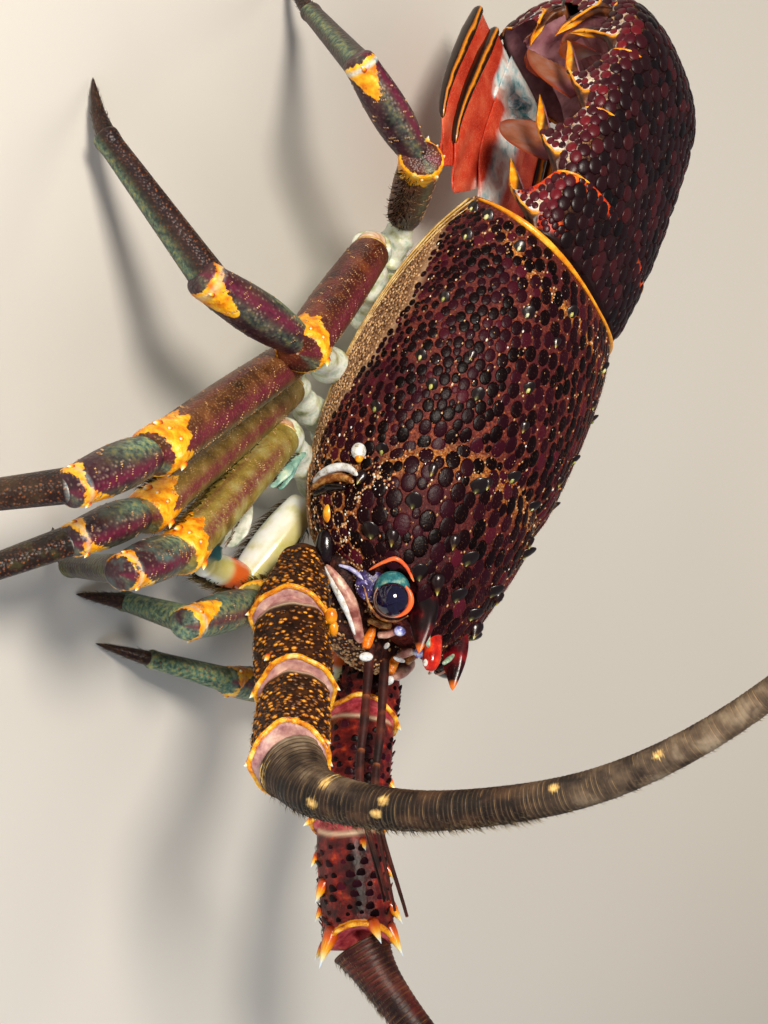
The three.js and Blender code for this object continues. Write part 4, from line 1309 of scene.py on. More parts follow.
def make_eye(side, hand):
    """A glassy dome that faces out, forwards and up, its orange ring and its teal stalk."""
    centre = np.array(EYE_AT) * (hand, 1, 1)
    gaze = unit((hand * 0.8, -0.33, 0.5))
    across = unit(np.cross(gaze, (0, 0, 1)))
    up = np.cross(across, gaze)
    back = np.array([hand * 0.5, 0.857, -0.128])
    hot_side = unit(np.array([-hand * 0.41, 0.364, 0.836]) - 0.25 * back)
    turns = np.linspace(0, TURN, EYE_RING_STEPS + 1)
    spokes = np.outer(np.cos(turns), across) + np.outer(np.sin(turns), up)
    circle = centre + gaze * 0.2 + spokes * EYE_RADIUS

    def dome(along, turn):
        angle = along * math.radians(112)
        ring = np.sin(angle) * EYE_RADIUS
        rise = np.cos(angle) * EYE_RADIUS * 0.9
        rim = (np.cos(turn) * ring)[:, None] * across + (np.sin(turn) * ring)[:, None] * up
        return centre + gaze * 0.35 + rim + rise[:, None] * gaze

    def rim(along, turn):
        at = read_line(circle, along)
        outward = unit(at - centre)
        thick = 0.16 + 0.5 * np.clip(outward @ hot_side, 0, 1) ** 2.2
        swell = (np.cos(turn) * thick + thick * 0.5)[:, None]
        return at + outward * swell * 0.9 + gaze * (np.sin(turn) * (0.17 + 0.5 * thick))[:, None]

    def rim_marks(along, turn):
        return {"hot": step(unit(read_line(circle, along) - centre) @ hot_side, 0.25, 0.7)}
    finish_piece(f"eye_{side}", wrap(dome, 56, 32), ["cornea"], [f"eye_{side}"])
    finish_piece(f"eye_ring_{side}", wrap(rim, 12, 128, 0, rim_marks), ["eye_ring"])
    cap = wrap(ball_skin(centre + back * 2.0 - gaze * 1.5, (3.35, 3.0, 3.3), back), 40, 28)
    # the stalk's root and the collar behind the ring take the near black orbit material, which paints the
    # socket's shade
    root_line = [centre + np.array([-hand * 6.5, 3.8, -2]), centre - gaze * 2.4]
    root = strand(root_line, [2.6, 3.3], 24, 14, 1, curved=False)
    collar = strand((circle - gaze * 1.2)[:-1], 0.45, 8, EYE_RING_STEPS, 1)
    finish_piece(f"eyestalk_{side}", joined([cap, root, collar]), ["teal", "dark"],
                 [f"eyestalk_{side}"])


def tooth(base, tip, depth, thickness, bend):
    """A flattened tooth that curves down towards its tip."""
    base, tip = np.asarray(base, float), np.asarray(tip, float)
    middle = (base + tip) / 2 + np.array([0, 0, bend])
    line = resampled([base, middle, tip], 41)

    def width(along, turn):
        taper = 1.02 - 0.96 * along ** 1.9
        cap = np.sqrt(np.clip(1 - (np.maximum(0, along - 0.94) / 0.0601) ** 2, 0, 1))
        ripple = 1 + 0.03 * np.sin(3 * turn + 9 * along) + 0.02 * np.sin(5 * turn - 14 * along)
        return depth * taper * ripple * cap
    return wrap(along_line(line, width, thickness / depth), 32, 48)


def make_horns():
    """The two large horns over the eyes and the rostrum between them."""
    for side, hand in SIDES.items():
        # the right horn takes the darker copy of the horn material, which paints shade
        horn = tooth((hand * 7.4, 13.2, 47.8), (hand * 8.2, -0.6, 54.0), 3.7, 2.1, 0.9)
        finish_piece(f"horn_{side}", horn, [f"horn_{side}"], [f"horn_{side}"])
    beak_line = [(0, 10, 47.8), (-0.2, 5.0, 51.0), (0.1, -0.6, 52.6)]
    beak = strand(beak_line, [2.4, 1.85, 1.75], 28, 40, round_ends=0.24)
    finish_piece("rostrum", beak, ["rostrum"], ["rostrum"])


def block_skin(start_y, length, half_width, level, half, roundness):
    """The skin of a rounded block along the midline, as in the solids, with its ends rounded in."""
    def skin(along, turn):
        cap = rounded(along, 8)
        width = (half_width[0] + (half_width[1] - half_width[0]) * along) * cap
        height = (half[0] + (half[1] - half[0]) * along) * cap
        middle = level[0] + (level[1] - level[0]) * along
        return stack(width * power(np.cos(turn), roundness), start_y + length * along,
                     middle + height * power(np.sin(turn), roundness))
    return skin


def make_underside():
    """The epistome with its granules, the jaws and the breastplate."""
    brow_skin = block_skin(-1, 15, (11, 20), (34.5, 34), (6, 5.5), 0.75)
    brow = wrap(brow_skin, 64, 48)
    jaws = wrap(block_skin(2, 20, (8.5, 10), (24.6, 24.6), (3.5, 3.5), 0.8), 64, 48)
    breast = wrap(block_skin(24, 62, (8, 23), (18.2, 19.8), (4.4, 5.4), 0.6), 64, 48)
    finish_piece("epistome", brow, ["brow"], ["epistome"])
    finish_piece("mouthparts", jaws, ["porcelain"], ["mouthparts"])
    finish_piece("breastplate", breast, ["hip"], ["breastplate"])
    count = 420
    along, turn = chance.uniform(0.05, 0.95, count), chance.uniform(0, math.pi, count)
    front = chance.random(count) < 0.6
    along = np.where(front, chance.random(count) / 16, along)
    turn = np.where(front, chance.uniform(0, TURN, count), turn)
    size = chance.uniform(0.16, 0.45, count)
    tint = chance.random(count) * 0.8
    beads = sprouting(brow_skin, along, turn, stack(size, size, size * 0.8), tint=tint)
    strewn("epistome_granules", BEAD, [beads], "granule")


def purple_beads(skin, count):
    along, turn = chance.uniform(0.1, 0.9, count), chance.uniform(0, TURN, count)
    size = chance.uniform(0.06, 0.17, count)
    tint = 0.9 + 0.1 * chance.random(count)
    return sprouting(skin, along, turn, stack(size, size, size * 0.7), tint=tint)


def make_face():
    """Ridges, folds and knobs round the eye and the antenna's base, the same on both sides."""
    bead_groups = []
    keys = sorted({row[-1] for row in OUTER_FACE + OUTER_KNOBS})
    for side, hand in SIDES.items():
        flip = np.array([-hand, 1, 1])
        parts = []
        for points, radii, key in OUTER_FACE:
            line = np.array(points) * flip
            steps = int(np.sum(np.linalg.norm(np.diff(line, axis=0), axis=1)) / RIDGE_STEP)
            parts.append(strand(line, radii, 16, steps, keys.index(key), 0.85, round_ends=0.09))
        for centre, half, axis, key in OUTER_KNOBS:
            skin = ball_skin(np.array(centre) * flip, half, np.array(axis) * flip)
            parts.append(wrap(skin, 32, 24, keys.index(key)))
            if key == "purple":
                bead_groups.append(purple_beads(skin, 90))
        for centre, spread, count in FACE_BEADS:
            along, turn = chance.uniform(0, 0.45, BEAD_TRIES), chance.uniform(0, TURN, BEAD_TRIES)
            gap = np.linalg.norm(shell_skin(along, turn) - np.array(centre) * flip, axis=1)
            near = np.flatnonzero(gap < spread * (0.3 + 0.7 * chance.random(BEAD_TRIES)))[:count]
            size = chance.uniform(0.12, 0.34, len(near))
            tint = 0.5 + 0.5 * chance.random(len(near))
            sizes = stack(size, size * 1.2, size)
            bead_groups.append(sprouting(shell_skin, along[near], turn[near], sizes, tint=tint))
        finish_piece(f"face_{side}", joined(parts), keys)
    strewn("face_granules", BEAD, bead_groups, "granule")


for side, hand in SIDES.items():
    make_eye(side, hand)
make_horns()
make_underside()
make_face()


# The antennae

STALK_LOOK = {"right": "stalk", "left": "maroon"}
SEGMENT_RADIUS = {"right": (7.0, 6.8, 6.3), "left": (6.9, 6.9, 6.8)}
SEGMENT_SPINES = {  # segment, place along, direction in the picture (right, up), lean, radius and length
    "right": [
        (0, 0.93, (0.9, 0.3), 1.4, 1.2, 2.4), (0, 0.95, (-0.9, 0.2), 1.2, 0.9, 1.8),
        (1, 0.95, (-1.0, 0.1), 1.2, 1.0, 2.2), (1, 0.95, (1.0, 0.1), 1.2, 0.9, 1.8),
        (1, 0.8, (-0.5, 0.6), 1.0, 0.8, 1.9), (2, 0.95, (-1.0, 0.0), 1.2, 1.0, 2.0),
        (2, 0.93, (0.75, 0.5), 1.0, 0.9, 2.0), (2, 0.95, (1.0, -0.2), 1.2, 0.9, 1.8),
    ],
    "left": [
        (0, 0.95, (1.0, 0.1), 1.2, 0.9, 2.2), (1, 0.6, (1.0, 0.2), 1.2, 0.9, 3.0),
        (1, 0.9, (1.0, 0.1), 1.4, 1.0, 3.4), (1, 0.95, (-1.0, 0.1), 1.2, 0.9, 2.6),
        (2, 0.3, (-1.0, 0.1), 1.3, 0.9, 3.0), (2, 0.52, (-0.9, 0.5), 1.4, 1.3, 4.6),
        (2, 0.7, (-1.0, 0.1), 1.4, 0.8, 3.0), (2, 0.92, (-0.75, 0.65), 2.2, 1.7, 8.0),
        (2, 0.95, (0.35, 0.9), 1.8, 1.35, 5.4), (2, 0.9, (0.95, 0.4), 1.8, 1.5, 6.4),
        (2, 0.72, (1.0, 0.2), 1.5, 1.2, 4.8), (2, 0.45, (1.0, 0.2), 1.4, 0.9, 3.4),
        (2, 0.25, (0.3, 0.95), 1.3, 0.8, 2.6), (2, 0.97, (-1.0, -0.2), 1.6, 0.9, 3.6),
    ],
}
SCALE_STEPS = {"right": (1.25, 1.35), "left": (2.3, 2.6)}  # mm from one scale to the next, along and round
SEGMENT_OVERLAP = 2.6  # how far a segment begins inside the one before it
RIM_OVERLAP = 1.0
PICTURE_RIGHT = np.array([0.41, 0.364, 0.836])
PICTURE_UP = np.array([-0.5, 0.857, -0.128])
WHIP_CUTS = [0, 0.25, 0.6, 1]
WHIP_STEPS = 1600
RING_PITCH = {"right": 0.8, "left": 1.1}
WHIP_SPOTS = {  # place along, how far towards the top of the picture
    "right": [
        (0.004, -0.2), (0.066, 0.7), (0.06, -0.15), (0.124, 0.5), (0.119, -0.1), (0.272, 0.5), (0.36, 0.3),
    ],
    "left": [],
}


def turn_towards(first, last, direction):
    """The turn round a straight limb that points in a direction."""
    axis = unit(np.asarray(last, float) - np.asarray(first, float))
    side = unit(np.cross(axis, (0, 0, 1)))
    return math.atan2(np.dot(direction, np.cross(side, axis)), np.dot(direction, side))


def segment_skin(i, first, last, half, facing):
    """A stout segment. Its far edge arches over the next one's root and then folds in like a cup; facing is
    the turn that points to the camera."""
    axis = unit(last - first)
    begin = first - axis * (SEGMENT_OVERLAP if i else RIM_OVERLAP)
    straight = straight_skin(begin, last + axis * RIM_OVERLAP, 0.96)

    def skin(along, turn):
        shut = np.clip((along - LIP) / (1 - LIP), 0, 1)
        t = np.where(along < LIP, along / LIP, 1 + 0.06 * np.sin(shut * math.pi / 2))
        faced = np.clip(np.cos(turn - facing), -1, 1)
        dip = 1 - 0.16 * np.clip(faced + 0.25, 0, 1.2) * (1 - step(t, 0.08, 0.24)) * (i > 0)
        narrow = 1 - 0.26 * (1 - step(t, 0.1, 0.9)) * (i == 0)
        width = (0.93 + 0.1 * np.sin(t * 2.4)) * dip * narrow + 0.06 * step(t, 0.9, 1.0)
        width = width * np.sqrt(np.clip(1 - shut ** 2, 0.0004, 1)) * (1 - 0.08 * (shut > 0))
        lumps = 1 + 0.02 * np.sin(turn * 5 + i) + 0.015 * np.sin(turn * 9 - 2 * i)
        t = np.minimum(t, 1 + 0.03 * shut)
        bow = -0.13 * step(t, 0.5, 1.0) * np.clip(faced, 0, 1) ** 2
        return straight(t + bow, turn, half * width * lumps)
    return skin


def segment_marks(i, facing, root_high):
    """What a stalk's material reads: its smooth root and the line there, painted shade along a groove on the
    face towards the camera, and its far edge.
    """
    def marks(along, turn):
        t = along / LIP
        high = root_high + 0.08 * np.cos(turn - facing)
        root = (1 - step(t, high - 0.04, high)) * (i > 0) + step(t, 1.003, 1.008)
        # painted shade: a near black stripe down the face turned to the camera, standing in for the shade in
        # a groove
        off_groove = np.mod(turn - facing + math.pi, TURN) - math.pi - 0.1
        groove = np.exp(-((off_groove / 0.3) ** 2)) * step(t, 0.2, 0.4)
        return {"root": root, "line": np.exp(-(((t - high) / 0.018) ** 2)) * (i > 0),
                "dark": groove * (1 - step(t, 0.85, 0.95)), "edge": step(t, 0.93, 0.97) * (t < 1.003)}
    return marks


def segment_scales(skin, side, first_row, length, half):
    """Rings of scales on a segment, a group for each ring: short and broad on the right, long on the left."""
    row_step, turn_step = SCALE_STEPS[side]
    rows = int((length + SEGMENT_OVERLAP + RIM_OVERLAP) * (0.96 - first_row) / row_step)
    count = int(TURN * half / turn_step)
    groups = []
    for row in range(rows):
        place = first_row + (0.96 - first_row) * (row + 0.5) / rows
        turn = (np.arange(count) + 0.5 * (row % 2) + chance.uniform(-0.4, 0.4, count)) * TURN / count
        along = (place + chance.uniform(-0.5, 0.5, count) / length) * LIP
        big = chance.uniform(0.45, 1.0, count)
        broad = stack(big * 0.85, big * 0.46, 0.12 + big * 0.26)
        sizes = broad if side == "right" else stack(big, big * 1.35, 0.1 + big * 0.16)
        groups.append(leaning(sprouting(skin, along, turn, sizes, 0.05, tint=chance.random(count)), 0.6))
    return groups


def make_stalk(side):
    """Three stout segments, whose far edges arch over the next one's root and end in spines."""
    scales, spines, hairs = [], [], []
    joints = np.array(STALKS[side], float)
    for i, half in enumerate(SEGMENT_RADIUS[side]):
        first, last = joints[i], joints[i + 1]
        length = np.linalg.norm(last - first)
        facing = turn_towards(first, last, VIEW)
        skin = segment_skin(i, first, last, half, facing)
        segment = wrap(skin, 80, 64, 0, segment_marks(i, facing, 0.13 if side == "right" else 0.11))
        rim = hoop(skin, LIP * 0.985, -0.12, 0.5, 1, 10, 110)
        name = f"antenna_{side}_stalk_{i + 1}"
        finish_piece(name, joined([segment, rim]), [STALK_LOOK[side], "stalk_rim"], [name])
        scales += segment_scales(skin, side, 0.25 if i else 0.06, length, half)
        hairs.append(fringe(skin, 130, turn_towards(first, last, -PICTURE_RIGHT), 0.5, 1.2, 0.7, 0.2))
        for segment_number, place, (right, up), lean, radius, long in SEGMENT_SPINES[side]:
            if segment_number == i:
                direction = PICTURE_RIGHT * right + PICTURE_UP * up * 0.5 + VIEW * abs(up) * 0.8
                turn = turn_towards(first, last, direction)
                spines.append(spikes(skin, [(place * LIP, turn)], radius, long, lean))
    if side == "right":
        strewn("antenna_right_scales", SMALL_DOME, scales, "scale")
        knobs = [((-21.9, -2.0, 41.8), (1.2, 1.0, 1.6)), ((-20.2, -3.6, 42.2), (0.9, 0.9, 1.5))]
        parts = [wrap(ball_skin(np.array(centre), size, PICTURE_UP), 24, 18) for centre, size in knobs]
        finish_piece("antenna_right_knob", joined(parts), ["rim"])
    else:
        strewn("antenna_left_tubercles", DOME, scales, "tubercle")
    strewn(f"antenna_{side}_spines", thorn_shape(10, 7, 0.25, 0.15), spines, "flame")
    strewn(f"antenna_{side}_bristles", HAIR, hairs, "setae")


def whip_width(place):
    """A whip's radius at a share of its length: thick at the root, then ever thinner."""
    place = np.clip(place, 0, 1)
    thin = (WHIP_RADIUS[0] + (WHIP_RADIUS[1] - WHIP_RADIUS[0]) * place ** 0.8) * 0.85
    return thin + 2.1 * np.exp(-place / 0.035)


def ringed_whip(line, first, last, rings, spots):
    """The skin of one length of a whip, between two shares of it, and what its material reads."""
    def width(along, turn):
        ring = np.mod(along * rings, 1)
        ridge = 1 + 0.045 * np.sin(math.pi * ring) ** 0.5 + 0.02 * (ring > 0.8)
        return whip_width(first + along * (last - first)) * ridge
    skin = along_line(line, width)

    def marks(along, turn):
        place = first + along * (last - first)
        _, normals, _ = on_skin(skin, along, turn)
        up = normals @ PICTURE_UP
        spot = np.zeros_like(place)
        for at, height in spots:
            spot = np.maximum(spot, np.exp(-(((place - at) / 0.0062) ** 2) - ((up - height) / 0.24) ** 2))
        far = step(place, 0.22, 0.34)
        band = (np.exp(-(((up - 0.12) / 0.3) ** 2)) + step(-up, 0.55, 0.9)) * (1 - 0.6 * far)
        upper = 0.85 * step(up, 0.3, 0.7) * (1 - step(place, 0.06, 0.12))
        return {"ring": np.mod(along * rings, 1), "band": band, "spot": spot, "far": np.maximum(far, upper)}
    return skin, marks


def make_whip(side):
    """A long ringed feeler in three lengths that meet face to face, with short bristles."""
    line = resampled(WHIPS[side], WHIP_STEPS + 1)
    length = np.sum(np.linalg.norm(np.diff(line, axis=0), axis=1))
    hairs = []
    for i, (count, longer) in enumerate(((2600, 1.1), (1800, 0.5), (1200, 0.2))):
        first, last = WHIP_CUTS[i], WHIP_CUTS[i + 1]
        piece = line[int(first * WHIP_STEPS): int(last * WHIP_STEPS) + 1]
        rings = int(length * (last - first) / RING_PITCH[side])
        skin, marks = ringed_whip(piece, first, last, rings, WHIP_SPOTS[side])
        name = f"antenna_{side}_whip_{i + 1}"
        finish_piece(name, wrap(skin, 28, rings * 5, 0, marks), [f"whip_{side}"], [name])
        along, turn = chance.uniform(0.003, 0.997, count), chance.uniform(0, TURN, count)
        _, normals, _ = on_skin(skin, along, turn)
        below = step(-normals @ PICTURE_UP, 0.1, 0.8)
        size = (0.32 + below * longer) * chance.uniform(0.6, 1.15, count)
        hairs.append(leaning(sprouting(skin, along, turn, stack(size * 0.8, size, size), 0.05), 0.6))
    strewn(f"antenna_{side}_whip_bristles", HAIR, hairs, "whip_hair")


def ringed_lash(line, radius, rings):
    """A thin lash of an inner feeler with its fine rings."""
    def width(along, turn):
        return radius * (1 - 0.45 * along) * (1 + 0.12 * np.sin(math.pi * np.mod(along * rings, 1)))
    return wrap(along_line(line, width), 10, rings * 4, 0,
                lambda along, turn: {"ring": np.mod(along * rings, 1)})


def make_antennule(side, hand):
    """An inner feeler: a stem of three joints and two thin ringed lashes."""
    line = resampled(np.array(ANTENNULE) * (hand, 1, 1), 241)

    def stem_width(along, turn):
        joint = np.mod(along * 3, 1)
        return (0.95 - 0.25 * along) * (0.86 + 0.2 * np.sin(math.pi * joint * 0.86 + 0.3))
    parts = [wrap(along_line(line[:150], stem_width), 16, 120, 0,
                  lambda along, turn: {"ring": np.mod(along * 3, 1)})]
    for offset, radius in ((0.55, 0.5), (-0.55, 0.42)):
        apart = np.linspace(0.3, 1.6, len(line) - 146)[:, None] * np.array([offset * hand, 0, offset])
        parts.append(ringed_lash(line[146:] + apart, radius, 62))
    finish_piece(f"antennule_{side}", joined(parts), ["antennule"], [f"antennule_{side}"])


for side in SIDES:
    make_stalk(side)
for side in SIDES:
    make_whip(side)
for side, hand in SIDES.items():
    make_antennule(side, hand)


# The legs

def leg_joints(pose):
    """A leg's joints in millimetres, from the hip to the tip on the floor."""
    hip, bones, (heading, reach) = pose
    joints = [np.array(hip, float)]
    for length, ahead, rise in bones:
        ahead, rise = math.radians(ahead), math.radians(rise)
        level = length * math.cos(rise)
        offset = (level * math.cos(ahead), level * math.sin(ahead), length * math.sin(rise))
        joints.append(joints[-1] + np.array(offset))
    heading = math.radians(heading)
    x, y, _ = joints[-1]
    tip = (x + reach * math.cos(heading), y + reach * math.sin(heading), FOOT_LEVEL)
    return joints + [np.array(tip)]


def arch(t, at_root, at_top, at_end, peak):
    """A width along a limb part that swells from its root to a peak and falls to its end."""
    rising = at_root + (at_top - at_root) * np.sin(np.clip(t / peak, 0, 1) * math.pi / 2)
    falling = at_end + (at_top - at_end) * np.cos(np.clip((t - peak) / (1 - peak), 0, 1) * math.pi / 2)
    return np.where(t < peak, rising, falling)


def hip_width(t):
    return 0.92 + 0.14 * np.cos(4 * math.pi * t) - 0.06 * np.cos(10 * math.pi * t)


def merus_width(t):
    return arch(t, 0.84, 0.98, 0.92, 0.6) + 0.12 * step(t, 0.86, 0.97)


def carpus_width(t):
    return arch(t, 0.66, 1.08, 0.86, 0.5) + 0.05 * step(t, 0.9, 1.0)


def shank_width(t):
    taper = 1.04 - 0.36 * np.clip(t, 0, 1) ** 0.9
    return taper - 0.1 * (1 - step(t, 0.0, 0.06)) + 0.08 * step(t, 0.93, 1.0)


def cup_skin(first, last, half, profile, flat=LEG_FLATNESS, cap=0.035):
    """A limb part that is round at its root and closes in a low dome at its far end."""
    straight = straight_skin(first, last, flat)

    def skin(along, turn):
        inner = np.clip((along - LIP) / (1 - LIP), 0, 1)
        t = np.where(along < LIP, along / LIP, 1 + cap * np.sin(inner * math.pi / 2))
        width = profile(np.minimum(t, 1)) * np.sqrt(np.clip(1 - inner ** 2, 0.0004, 1))
        near = np.sqrt(np.clip(1 - (np.maximum(0, 0.05 - t) / 0.056) ** 2, 0.05, 1))
        return straight(t, turn, half * width * near)
    return skin


def facing_degrees(turn, hand):
    """A turn round a limb in degrees, mirrored on the left side, 0 at its front edge and 90 on top."""
    turn = turn if hand < 0 else math.pi - turn
    return np.degrees(np.mod(turn, TURN))


def near_angle(degrees, middle, spread):
    gap = np.mod(degrees - middle + 180, 360) - 180
    return np.exp(-((gap / spread) ** 2))


def leg_turn(degrees, hand):
    """The turn round a limb of a place given in degrees, mirrored on the left side."""
    return math.radians(degrees if hand < 0 else 180 - degrees)


def leg_marks(part, hand, tone):
    """What the leg's materials read: tone, stripe, the orange far end, green and pale patches."""
    def marks(along, turn):
        past = along / LIP
        t = np.clip(past, 0, 1)
        degrees = facing_degrees(turn, hand)

        def near(middle, spread):
            return near_angle(degrees, middle, spread)
        values = {"tone": np.full(len(t), tone)}
        if part == "merus":
            edge = 0.955 - 0.11 * (1 - near(88, 45)) + 0.02 * np.sin(np.radians(degrees) * 9)
            cuff = np.maximum(step(t, edge - 0.02, edge + 0.02), 1 - step(t, 0.015, 0.035))
            stripe = np.minimum(near(86 if tone else 64, 20) + 0.5 * near(10, 8), 1)
            values["cuff"] = cuff * (1 - 0.9 * step(past, 1.03, 1.07))
            values["stripe"] = stripe * step(t, 0.06, 0.3)
            values["pale"] = (1 - step(t, 0.0, 0.02)) * 0.8
            values["green"] = near(135, 18) * step(t, 0.1, 0.4) * 0.5
            values["rows"] = near(40, 30) * 0.5
        if part == "carpus":
            edge = 1.0 - 0.3 * near(150, 40) - 0.12 * near(0, 36)
            values["cuff"] = step(t, edge - 0.03, edge + 0.03) * (1 - step(past, 1.02, 1.06))
            values["stripe"] = near(92, 16) * step(t, 0.1, 0.3)
            values["pale"] = np.exp(-(((past - 0.985) / 0.012) ** 2))
            values["green"] = near(28, 34) * (1 - step(t, 0.2, 0.85)) + 0.3 * near(130, 20)
            values["rows"] = near(62, 13) + near(118, 13)
        if part == "shank":
            values["stripe"] = near(130, 20) * 0.5
            values["pale"] = 1 - step(t, 0.03, 0.06)
            values["green"] = near(200, 26) * 0.7
            values["rows"] = near(48, 5) + near(78, 5) + near(108, 5)
        if hand > 0 and part in ("carpus", "shank"):
            values["green"] = np.maximum(values["green"], 0.75 * (1 - near(200, 50)))
        return values
    return marks


def leg_beads(skin, count, radius):
    """Fine granules scattered over a limb part, in short slanting rows."""
    along = np.repeat(chance.uniform(0.06, 0.84, count // 3), 3) + np.tile([0, 0.006, 0.012], count // 3)
    turn = np.repeat(chance.uniform(0, TURN, count // 3), 3) + np.tile([0, 0.09, 0.18], count // 3)
    size = radius * chance.uniform(0.7, 1.3, len(along))
    shade = chance.random(len(along)) * 0.55
    return sprouting(skin, along, turn, stack(size, size * 1.5, size * 0.8), tint=shade)


def claw_skin(first, last, half):
    """The last part of a leg, which bends down and tapers to its tip."""
    straight = straight_skin(first, last, 0.9)

    def skin(along, turn):
        taper = 1 - 0.86 * np.clip(along, 0, 1) ** 1.3
        width = half * taper * np.sqrt(np.clip(1.02 - along ** 12, 0.02, 1))
        return straight(along, turn, width, -0.8 * np.sin(math.pi * along))
    return skin


def grow_on_leg(part, skin, number, hand, grown):
    """The spines, bristles and granules of one part of a leg."""
    if part == "merus":
        large = [(LIP * 0.965, leg_turn(degrees, hand)) for degrees in (2, 128)]
        grown["spines"].append(spikes(skin, large, 0.75, 2.3, 1.6))
        small = [(LIP * 0.975, leg_turn(degrees, hand)) for degrees in (30, 62, 165)]
        grown["spines"].append(spikes(skin, small, 0.45, 1.2, 1.4))
        grown["bristles"].append(fringe(skin, 260, leg_turn(205, hand), 0.3, 2.3))
        if number < 2:
            grown["bristles"].append(fringe(skin, 300, leg_turn(-16, hand), 0.16, 2.4, 0.9))
        grown["granules"].append(leg_beads(skin, 420, 0.13))
    if part == "carpus":
        places = [(LIP * 0.97, leg_turn(degrees, hand)) for degrees in (0, 140)]
        grown["spines"].append(spikes(skin, places, 0.5, 1.3, 1.4))
        grown["granules"].append(leg_beads(skin, 160, 0.13))
    if part == "shank":
        grown["bristles"].append(fringe(skin, 60, 0, 2.5, 0.5, 0.8))
    if part == "dactyl":
        grown["bristles"].append(fringe(skin, 190, 0, 2.5, 0.9, 0.8, 0.05, 0.85))


LEG_LOOKS = ["merus", "carpus", "shank", "gold_line", "hip", "joint"]
LEG_PARTS = [  # name, width along it, the place of its look in LEG_LOOKS
    ("hip", hip_width, 4), ("merus", merus_width, 0), ("carpus", carpus_width, 1),
    ("shank", shank_width, 2), ("dactyl", None, 2),
]
LEG_TONES = [0.0, 0.5, 0.9, 1.0, 1.0]  # how dark the legs are, from the first to the fifth


def make_leg(name, pose, grown):
    """One leg: hip, three tapering lengths with knobs at their joints, and the claw."""
    joints = leg_joints(pose)
    number = int(name[-1]) - 1
    hand = SIDES[name[:-2]]
    parts = []
    for i, (part, profile, look) in enumerate(LEG_PARTS):
        first, last = joints[i], joints[i + 1]
        axis = unit(last - first)
        half = LEG_RADIUS[i] * LEG_SIZE[number]
        steps = max(14, int(np.linalg.norm(last - first) / 0.55))
        if part == "dactyl":
            skin = claw_skin(first, last, half)
            parts.append(wrap(skin, 20, steps, look, leg_marks(part, hand, 1.0)))
        else:
            cap = 0.09 if part == "carpus" else 0.035
            skin = cup_skin(first, last + axis * (half * 0.42), half, profile, cap=cap)
            parts.append(wrap(skin, 36, steps, look, leg_marks(part, hand, LEG_TONES[number])))
        if part in ("merus", "carpus", "shank"):
            size = (half * 0.8, half * 0.76, half * 0.8)
            knob = ball_skin(first + axis * 0.2, size, axis, (0.3, 0.2, 1.0))
            parts.append(wrap(knob, 24, 14, LEG_LOOKS.index("joint")))
            chance.random(3)  # three draws go unused, so that all later places stay as they are
        if part == "merus":
            parts.append(hoop(skin, 0.018, 0.0, 0.26, LEG_LOOKS.index("gold_line"), 6, 48, sway=0.012))
        grow_on_leg(part, skin, number, hand, grown)
    finish_piece(f"leg_{name}", joined(parts), LEG_LOOKS, [f"leg_{name}"])


def make_legs():
    grown = {"spines": [], "bristles": [], "granules": []}
    for name, pose in LEGS.items():
        make_leg(name, pose, grown)
    strewn("leg_spines", THORN, grown["spines"], "flame")
    strewn("leg_bristles", HAIR, grown["bristles"], "setae")
    strewn("leg_granules", BEAD, grown["granules"], "granule")


make_legs()


JAW_BLADES = [  # thin folded blades beside the outer jaw limbs on the right side: points, radii, material
    ([(-36.9, 11.2, 25.5), (-37.5, 7.9, 25.9), (-38.1, 4.5, 26.3), (-38.1, 1.1, 26.1)],
     [0.6, 1.9, 2.6, 1.2], 0),
    ([(-35.9, 11.4, 25.0), (-36.0, 7.6, 25.2), (-36.5, 4.3, 25.4)], [0.5, 1.6, 0.9], 0),
    ([(-28.0, 27.9, 25.4), (-29.6, 24.8, 24.8), (-31.5, 20.7, 25.0), (-32.4, 17.1, 24.9)],
     [0.7, 1.8, 2.0, 0.7], 1),
    ([(-28.2, 25.5, 24.8), (-29.2, 21.9, 24.6), (-29.9, 18.2, 24.9)], [0.6, 1.6, 0.7], 1),
]
BRISTLE_EDGES = (2.03, -1.11)  # turns of the first part's bristled edges on the right side


def make_jaw_blades(side, hand, hairs):
    def edge_width(along, turn):
        return 1.1 * np.sin(math.pi * (0.1 + 0.8 * along))
    parts = []
    for points, radii, look in JAW_BLADES:
        line = np.array(points) * ((1, 1, 1) if hand < 0 else (-0.66, 1, 0.9))
        parts.append(strand(line, radii, 18, 40, look, 0.35, round_ends=0.1))
        skin = along_line(resampled(line, 41), edge_width, 0.4)
        hairs.append(fringe(skin, 60, 0.0, 0.15, 2.2, 0.7))
    finish_piece(f"jaw_blades_{side}", joined(parts), ["jaw_pale", "jaw_teal"])


def jaw_part(i, first, last):
    """One part of an outer jaw limb: its skin, and what its material reads."""
    def profile(t):
        return 0.84 + 0.26 * np.sin(math.pi * np.clip(t, 0, 1)) + 0.06 * step(t, 0.9, 1.0) * (i < 3)

    def marks(along, turn):
        t = along / LIP
        return {"orange": step(t, 0.1, 0.25) * (1 - step(t, 0.5, 0.68)) * (i == 1),
                "teal": step(t, 0.1, 0.5) * (i >= 2)}
    return cup_skin(first, last, MAXILLIPED_RADIUS[i], profile, 0.8), marks


